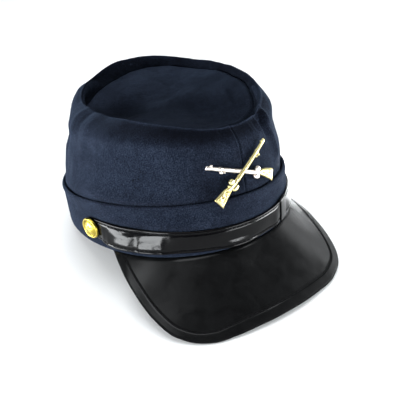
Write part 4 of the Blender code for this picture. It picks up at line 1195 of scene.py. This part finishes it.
for angle, name in ((button_first, "button_right"), (button_last, "button_left")):
    th1, h1 = np.array([angle]), np.array([BUTTON_HEIGHT])
    normal = cuff_normal(th1, h1)[0]
    at = cuff(th1, h1)[0] + normal * (GAP + STRAP_THICK + GAP)
    matrix = frame_on(at, normal)
    turn = np.arange(BUTTON_STEPS) * 2 * math.pi / BUTTON_STEPS
    rows, tones = [], []
    for r, z, tone in BUTTON_FACE:
        lift = np.zeros(BUTTON_STEPS)
        shade = np.full(BUTTON_STEPS, tone)
        if z > 2.5 and r < 4.6:      # a plain rosette of eight petals on the dome
            petal = abs(np.cos(4 * turn)) ** 0.7
            inside_petal = step(0.5, 1.3, r) * (1 - step(3.2, 4.3, r))
            lift = 0.30 * (petal - 0.45) * inside_petal
            shade = tone + 0.45 * (petal - 0.55) * inside_petal
            if r < 0.7:
                lift += 0.22
        if 6.5 < r < 7.6 and z > 2.0:      # the rim is finely roped
            lift = 0.05 * np.cos(36 * turn)
            shade = tone + 0.10 * np.cos(36 * turn)
        rows.append(np.stack([r * np.cos(turn), r * np.sin(turn), z + lift], -1))
        tones.append(shade)
    rows = np.array(rows)
    button = Shape()
    start = button.add_grid(placed(matrix, rows), tone=np.array(tones))
    button.fan(start + np.arange(BUTTON_STEPS), placed(matrix, [(0, 0, 3.86)])[0], tone=0.8)
    button.fan(start + (len(rows) - 1) * BUTTON_STEPS + np.arange(BUTTON_STEPS),
               placed(matrix, [(0, 0, -10.6)])[0], tone=0.3)
    button.build(name + "_brass", brass_mat, [name])

# ---------------------------------------------------------------- badge
lean_back = math.radians(BADGE_LEAN)
badge_normal = np.array([0.0, -math.cos(lean_back), math.sin(lean_back)])
front_rings = np.array([ring(n, np.array([0.0]))[0] for n in WALL_NAMES])
front_line = spline(WALL_KNOTS, front_rings, np.linspace(34.0, 72.0, 60))
k = int(np.argmin(abs(front_line[:, 2] - BADGE_AT[1])))
badge_point = np.array([BADGE_AT[0], front_line[k, 1], front_line[k, 2]]) + badge_normal * (BADGE_STANDOFF + 0.85)
badge_matrix = frame_on(badge_point, badge_normal, BADGE_TURN)

RIFLE = (
    # along  upper  lower   crown
    (0.0, 3.30, -4.90, 0.55), (0.35, 3.60, -4.95, 0.85), (0.9, 3.75, -4.60, 1.00), (2.4, 3.62, -4.00, 1.10),
    (5.0, 3.55, -3.25, 1.18), (7.5, 3.45, -2.55, 1.20), (9.6, 3.15, -2.05, 1.18), (11.2, 2.55, -1.70, 1.15),
    (12.6, 2.00, -1.45, 1.15), (14.0, 1.85, -1.45, 1.18), (17.0, 1.75, -1.55, 1.22), (20.0, 1.62, -1.52, 1.22),
    (24.0, 1.56, -1.48, 1.20), (30.0, 1.52, -1.42, 1.18), (36.0, 1.46, -1.36, 1.15), (42.4, 1.42, -1.30, 1.12),
    (43.0, 1.60, -1.50, 1.24), (43.6, 1.72, -1.64, 1.30), (44.6, 1.72, -1.64, 1.30), (45.2, 1.60, -1.48, 1.22),
    (45.7, 1.42, -1.25, 1.05), (48.0, 1.38, -1.20, 1.02), (50.2, 1.34, -1.16, 1.00), (50.8, 1.36, -1.16, 1.00),
    (51.2, 1.50, -1.25, 1.08), (51.8, 1.58, -1.30, 1.12), (52.8, 1.58, -1.30, 1.12), (53.5, 1.52, -1.26, 1.08),
    (54.2, 1.40, -1.20, 0.98), (54.5, 1.15, -1.00, 0.60),
)
# round pieces of each rifle: hammer, guard, lug and sight
BLOBS = (
    # name     along  across  long  wide  high  base
    ("hammer",  15.4,  2.75,  2.15, 1.90, 1.00, 0.20),
    ("nipple",  12.9,  2.45,  0.80, 0.80, 0.95, 0.20),
    ("guard",   15.2, -2.40,  2.60, 1.75, 0.95, 0.15),
    ("lug",     43.4, -2.05,  1.20, 0.90, 1.00, 0.00),
    ("swivel",  41.2, -1.65,  0.65, 0.60, 0.80, 0.00),
    ("sight",   51.4,  1.80,  0.75, 0.70, 0.85, 0.10),
)
RIFLE_BACK, RIFLE_HALF = -0.85, 0.85


def rifle_points(pts, mirrored, layer):
    """From a rifle's own length and breadth to the badge's frame, curved to the crown."""
    a = math.radians(BADGE_CROSS)
    x, y, z = pts[..., 0] - BADGE_LENGTH / 2, pts[..., 1], pts[..., 2] + layer
    px = x * math.cos(a) - y * math.sin(a)
    py = x * math.sin(a) + y * math.cos(a)
    if mirrored:
        px = -px
    return np.stack([px, py, z - px**2 / (2 * BADGE_BEND)], -1)


def add_rifle(shape, mirrored, layer, roped):
    first_face = len(shape.faces)
    table = np.array(RIFLE)
    length = np.unique(np.concatenate([np.arange(0, BADGE_LENGTH, 0.24), table[:, 0], [BADGE_LENGTH]]))
    upper_edge, lower_edge, crown_h = (np.interp(length, table[:, 0], table[:, i]) for i in (1, 2, 3))
    across = np.linspace(-1, 1, 17)
    rows, tones = [], []
    for x, hi, lo, high in zip(length, upper_edge, lower_edge, crown_h):
        mid, halfw = (hi + lo) / 2, (hi - lo) / 2
        butt = 1 - step(9.5, 13.5, x)
        barrel = step(16.5, 18.5, x)
        dome = (1 - abs(across) ** (2.2 + 1.8 * butt)) ** 0.5
        z = RIFLE_BACK + 0.30 + (RIFLE_HALF - RIFLE_BACK - 0.30) * high * dome * 0.62
        y = mid + halfw * across
        tone = 0.45 + 0.30 * dome
        if roped:      # twisted ribs from the muzzle to the wrist
            turn = np.sin(2 * math.pi * (x / 1.05 - 0.45 * across))
            banded = 1 - np.exp(-((x - 44.1) / 1.4) ** 2) - np.exp(-((x - 52.4) / 1.4) ** 2)
            rib = turn * barrel * dome * max(0.0, banded)
            z = z + 0.19 * rib
            tone = tone + 0.38 * rib
            # carved scrolls on the butt, inside a plain border
            border = step(0.55, 0.80, abs(across)) + (1 - step(0.6, 1.5, x))
            carve = np.tanh(5.5 * rough(np.stack([np.full_like(y, x), y * 1.25, 0 * y], -1), 0.85, 61))
            cut = carve * butt * np.clip(1 - border, 0, 1)
            z = z + 0.20 * cut
            tone = tone + 0.55 * cut - 0.16 * butt * np.clip(1 - border, 0, 1)
        else:          # smooth barrel with a long groove, beaded butt
            groove_here = np.exp(-((across - 0.10) / 0.17) ** 2) * barrel * step(19, 21, x) * (1 - step(40.5, 42, x))
            groove_far = np.exp(-((across - 0.10) / 0.20) ** 2) * step(45.8, 46.6, x) * (1 - step(49.5, 50.6, x))
            z = z - 0.26 * (groove_here + groove_far)
            tone = tone - 0.50 * (groove_here + groove_far)
            border = step(0.60, 0.85, abs(across)) + (1 - step(0.7, 1.6, x))
            beads = np.tanh(5.5 * rough(np.stack([np.full_like(y, x), y * 1.15, 0 * y], -1), 0.80, 62))
            cut = beads * butt * np.clip(1 - border, 0, 1)
            z = z + 0.19 * cut
            tone = tone + 0.55 * cut - 0.14 * butt * np.clip(1 - border, 0, 1)
        rows.append(np.stack([np.full_like(y, x), y, z], -1))
        tones.append(tone)
    rows, tones = np.array(rows), np.array(tones)
    back = rows[:, ::-1].copy()
    back[..., 2] = RIFLE_BACK
    whole = np.concatenate([rows, back], axis=1)          # round each section
    shade = np.concatenate([tones, np.full_like(tones, 0.35)], axis=1)
    start = shape.add_grid(placed(badge_matrix, rifle_points(whole, mirrored, layer)), tone=shade)
    n = whole.shape[1]
    shape.butt_faces = range(first_face, first_face + n * int(np.searchsorted(length, 12.4)))
    for r in (0, len(length) - 1):
        middle = whole[r].mean(axis=0)
        shape.fan(start + r * n + np.arange(n), placed(badge_matrix, rifle_points(middle, mirrored, layer)), tone=0.4)
    # round pieces
    for blob, bx, by, long, wide, high, base in BLOBS:
        bx += {"hammer": 0.9, "guard": 0.3}.get(blob, 0.0) * (1 if roped else -1)
        lat = np.radians((8, 24, 40, 56, 72, 84))
        turn = np.arange(20) * 2 * math.pi / 20
        ring_rows = [np.stack([bx + long * np.cos(turn), by + wide * np.sin(turn), np.full(20, RIFLE_BACK + 0.1)], -1)]
        for a in lat:
            ring_rows.append(np.stack([bx + long * math.cos(a) * np.cos(turn), by + wide * math.cos(a) * np.sin(turn),
                                       np.full(20, base + high * math.sin(a) - 0.1)], -1))
        ring_rows = np.array(ring_rows)
        tone = np.repeat(np.array([0.35, 0.55, 0.7, 0.85, 0.95, 1.0, 1.0])[:, None], 20, axis=1)
        s = shape.add_grid(placed(badge_matrix, rifle_points(ring_rows, mirrored, layer)), tone=tone)
        tip = np.array([bx, by, base + high - 0.1])
        shape.fan(s + 6 * 20 + np.arange(20), placed(badge_matrix, rifle_points(tip, mirrored, layer)), tone=1.0)
        foot_mid = np.array([bx, by, RIFLE_BACK + 0.1])
        shape.fan(s + np.arange(20), placed(badge_matrix, rifle_points(foot_mid, mirrored, layer)), tone=0.35)


def pin(shape, px, py, top):
    """A pin from the badge through the cloth into its clutch."""
    drop = px**2 / (2 * BADGE_BEND)
    turn = np.arange(12) * 2 * math.pi / 12
    rows = []
    for r, z in ((0.6, top), (0.6, -3.0), (0.6, -6.9), (0.35, -7.45), (0.08, -7.6)):
        rows.append(np.stack([px + r * np.cos(turn), py + r * np.sin(turn), np.full(12, z - drop)], -1))
    s = shape.add_grid(placed(badge_matrix, np.array(rows)), tone=np.full((5, 12), 0.4))
    shape.fan(s + np.arange(12), placed(badge_matrix, [(px, py, top - drop)])[0], tone=0.4)
    shape.fan(s + 48 + np.arange(12), placed(badge_matrix, [(px, py, -7.6 - drop)])[0], tone=0.4)


PIN_ALONG = 11.0
pin_x, pin_y = PIN_ALONG * math.cos(math.radians(BADGE_CROSS)), PIN_ALONG * math.sin(math.radians(BADGE_CROSS))
front_rifle = Shape()
add_rifle(front_rifle, False, 1.3, True)
pin(front_rifle, pin_x, pin_y, 0.8)
rifle_top = front_rifle.build("badge_front_rifle", gold_mat, ["badge"])
rear_rifle = Shape()
add_rifle(rear_rifle, True, 0.0, False)
pin(rear_rifle, -pin_x, pin_y, -0.3)
rifle_rear = rear_rifle.build("badge_rear_rifle", silver_mat)
rifle_rear.data.materials.append(gold_mat)      # the carved butt keeps its gilding
for face in rear_rifle.butt_faces:
    rifle_rear.data.polygons[face].material_index = 1

CLUTCH_PROFILE = (
    # radius  height
    (1.05, -5.85), (1.5, -5.80), (3.2, -5.80), (3.55, -5.92), (3.60, -6.15), (3.5, -6.35), (2.9, -6.45), (2.65, -6.6),
    (2.55, -7.0), (2.5, -7.6), (2.45, -8.1), (2.3, -8.5), (1.9, -8.72), (1.2, -8.80), (0.5, -8.80),
)
for side, name in ((-1, "clutch_right"), (1, "clutch_left")):
    px, py = side * pin_x, pin_y
    drop = px**2 / (2 * BADGE_BEND)
    turn = np.arange(48) * 2 * math.pi / 48
    rows, tones = [], []
    for r, z in CLUTCH_PROFILE:
        ear = 1 + 0.28 * (abs(np.cos(turn)) ** 10) * (-8.2 < z < -6.5)       # two ears to press
        rows.append(np.stack([px + r * ear * np.cos(turn), py + r * ear * np.sin(turn), np.full(48, z - drop)], -1))
        tones.append(np.full(48, 0.45 + 0.08 * (r > 3)))
    clutch = Shape()
    s = clutch.add_grid(placed(badge_matrix, np.array(rows)), tone=np.array(tones))
    # the bore that takes the pin
    bore = []
    for r, z in ((1.0, -6.2), (0.9, -8.0)):
        bore.append(np.stack([px + r * np.cos(turn), py + r * np.sin(turn), np.full(48, z - drop)], -1))
    b = clutch.add_grid(placed(badge_matrix, np.array(bore)), tone=np.full((2, 48), 0.3))
    ids = np.arange(48)
    clutch.join_rings(s + ids, b + ids)
    clutch.fan(b + 48 + ids, placed(badge_matrix, [(px, py, -8.05 - drop)])[0], tone=0.3)
    clutch.fan(s + (len(rows) - 1) * 48 + ids, placed(badge_matrix, [(px, py, -8.80 - drop)])[0], tone=0.5)
    clutch.build(name + "_steel", steel_mat, [name])

# ---------------------------------------------------------------- floor and light
bm = bmesh.new()
bmesh.ops.create_grid(bm, x_segments=1, y_segments=1, size=6.0)
floor_mesh = bpy.data.meshes.new("floor")
bm.to_mesh(floor_mesh)
bm.free()
floor = bpy.data.objects.new("floor", floor_mesh)
bpy.context.scene.collection.objects.link(floor)
floor.location = (0, 0, -0.0001)
floor_mat = bpy.data.materials.new("pale_floor")
tree, bsdf = nodes_of(floor_mat)
bsdf.inputs["Base Color"].default_value = (0.95, 0.95, 0.95, 1.0)
bsdf.inputs["Roughness"].default_value = 0.9
bsdf.inputs["Specular IOR Level"].default_value = 0.0
floor_mesh.materials.append(floor_mat)

world = bpy.data.worlds.new("studio")
bpy.context.scene.world = world
world.use_nodes = True
world.node_tree.nodes["Background"].inputs["Color"].default_value = (0.92, 0.96, 1.0, 1.0)
world.node_tree.nodes["Background"].inputs["Strength"].default_value = 0.02


def softbox(name, azimuth, elevation, away, size, power, colour=(1.0, 1.0, 1.0)):
    """A soft rectangle of light that faces the cap, seen from it at an azimuth (from +Y towards +X) and elevation."""
    az, el = math.radians(azimuth), math.radians(elevation)
    aim = Vector((0.0, 0.0, 0.05))
    at = aim + away * Vector((math.sin(az) * math.cos(el), math.cos(az) * math.cos(el), math.sin(el)))
    data = bpy.data.lights.new(name, "AREA")
    data.shape = "RECTANGLE"
    data.size, data.size_y = size
    data.energy = power
    data.color = colour
    obj = bpy.data.objects.new(name, data)
    bpy.context.scene.collection.objects.link(obj)
    obj.matrix_world = Matrix.Translation(at) @ (aim - at).to_track_quat("-Z", "Y").to_matrix().to_4x4()
    return obj


COOL = (0.95, 0.98, 1.0)
STUDIO = (
    # name            azimuth  elevation  away  wide  high  power
    ("left_strip",      -78.0,    2.6,    0.75, 0.75, 0.16, 13.6),
    ("left_glint",     -119.0,    2.6,    0.75, 0.24, 0.16,  4.4),
    ("front_low",       163.0,    0.5,    0.80, 0.36, 0.11,  4.0),
    ("left_high",       -80.0,   52.0,    1.4,  0.70, 0.50,  0.9),
    ("right_strip",     121.0,    1.8,    0.90, 0.76, 0.13, 15.0),
    ("right_card",       90.0,   18.0,    1.4,  0.50, 0.28,  1.0),
    ("right_low",        88.0,    4.0,    1.4,  0.60, 0.16,  1.0),
    ("right_back",       58.0,   10.0,    1.4,  0.50, 0.40,  5.5),
    ("back_high",        30.0,   48.0,    1.5,  1.00, 0.70,  4.0),
    ("overhead",          0.0,   85.0,    1.5,  1.20, 1.00, 16.5),
)
for name, azimuth, elevation, away, wide, high, power in STUDIO:
    softbox(name, azimuth, elevation, away, (wide, high), power, COOL)

# two soft pools of light on the floor behind and beside the cap, clear of it
for name, at, aim, spread, power in (
    ("floor_back", (0.25, 0.75, 1.2), (0.22, 0.85, 0.0), 72.0, 18.0),
    ("floor_left", (-0.62, 0.16, 0.70), (-0.36, 0.04, 0.0), 40.0, 9.0),
    ("floor_right", (0.45, 0.0, 0.60), (0.195, -0.005, 0.0), 13.0, 190.0),
    ("floor_front", (0.42, -0.36, 0.60), (0.155, -0.180, 0.0), 20.0, 14.0),
):
    data = bpy.data.lights.new(name, "SPOT")
    data.energy = power
    data.spot_size = math.radians(spread)
    data.spot_blend = 1.0
    data.shadow_soft_size = 0.02 if spread < 20 else 0.15
    data.color = COOL
    pool = bpy.data.objects.new(name, data)
    bpy.context.scene.collection.objects.link(pool)
    pool.matrix_world = Matrix.Translation(at) @ (Vector(aim) - Vector(at)).to_track_quat("-Z", "Y").to_matrix().to_4x4()

scene = bpy.context.scene
scene.view_settings.view_transform = "Standard"
scene.view_settings.look = "None"
scene.view_settings.exposure = 0.0
scene.view_settings.gamma = 1.0
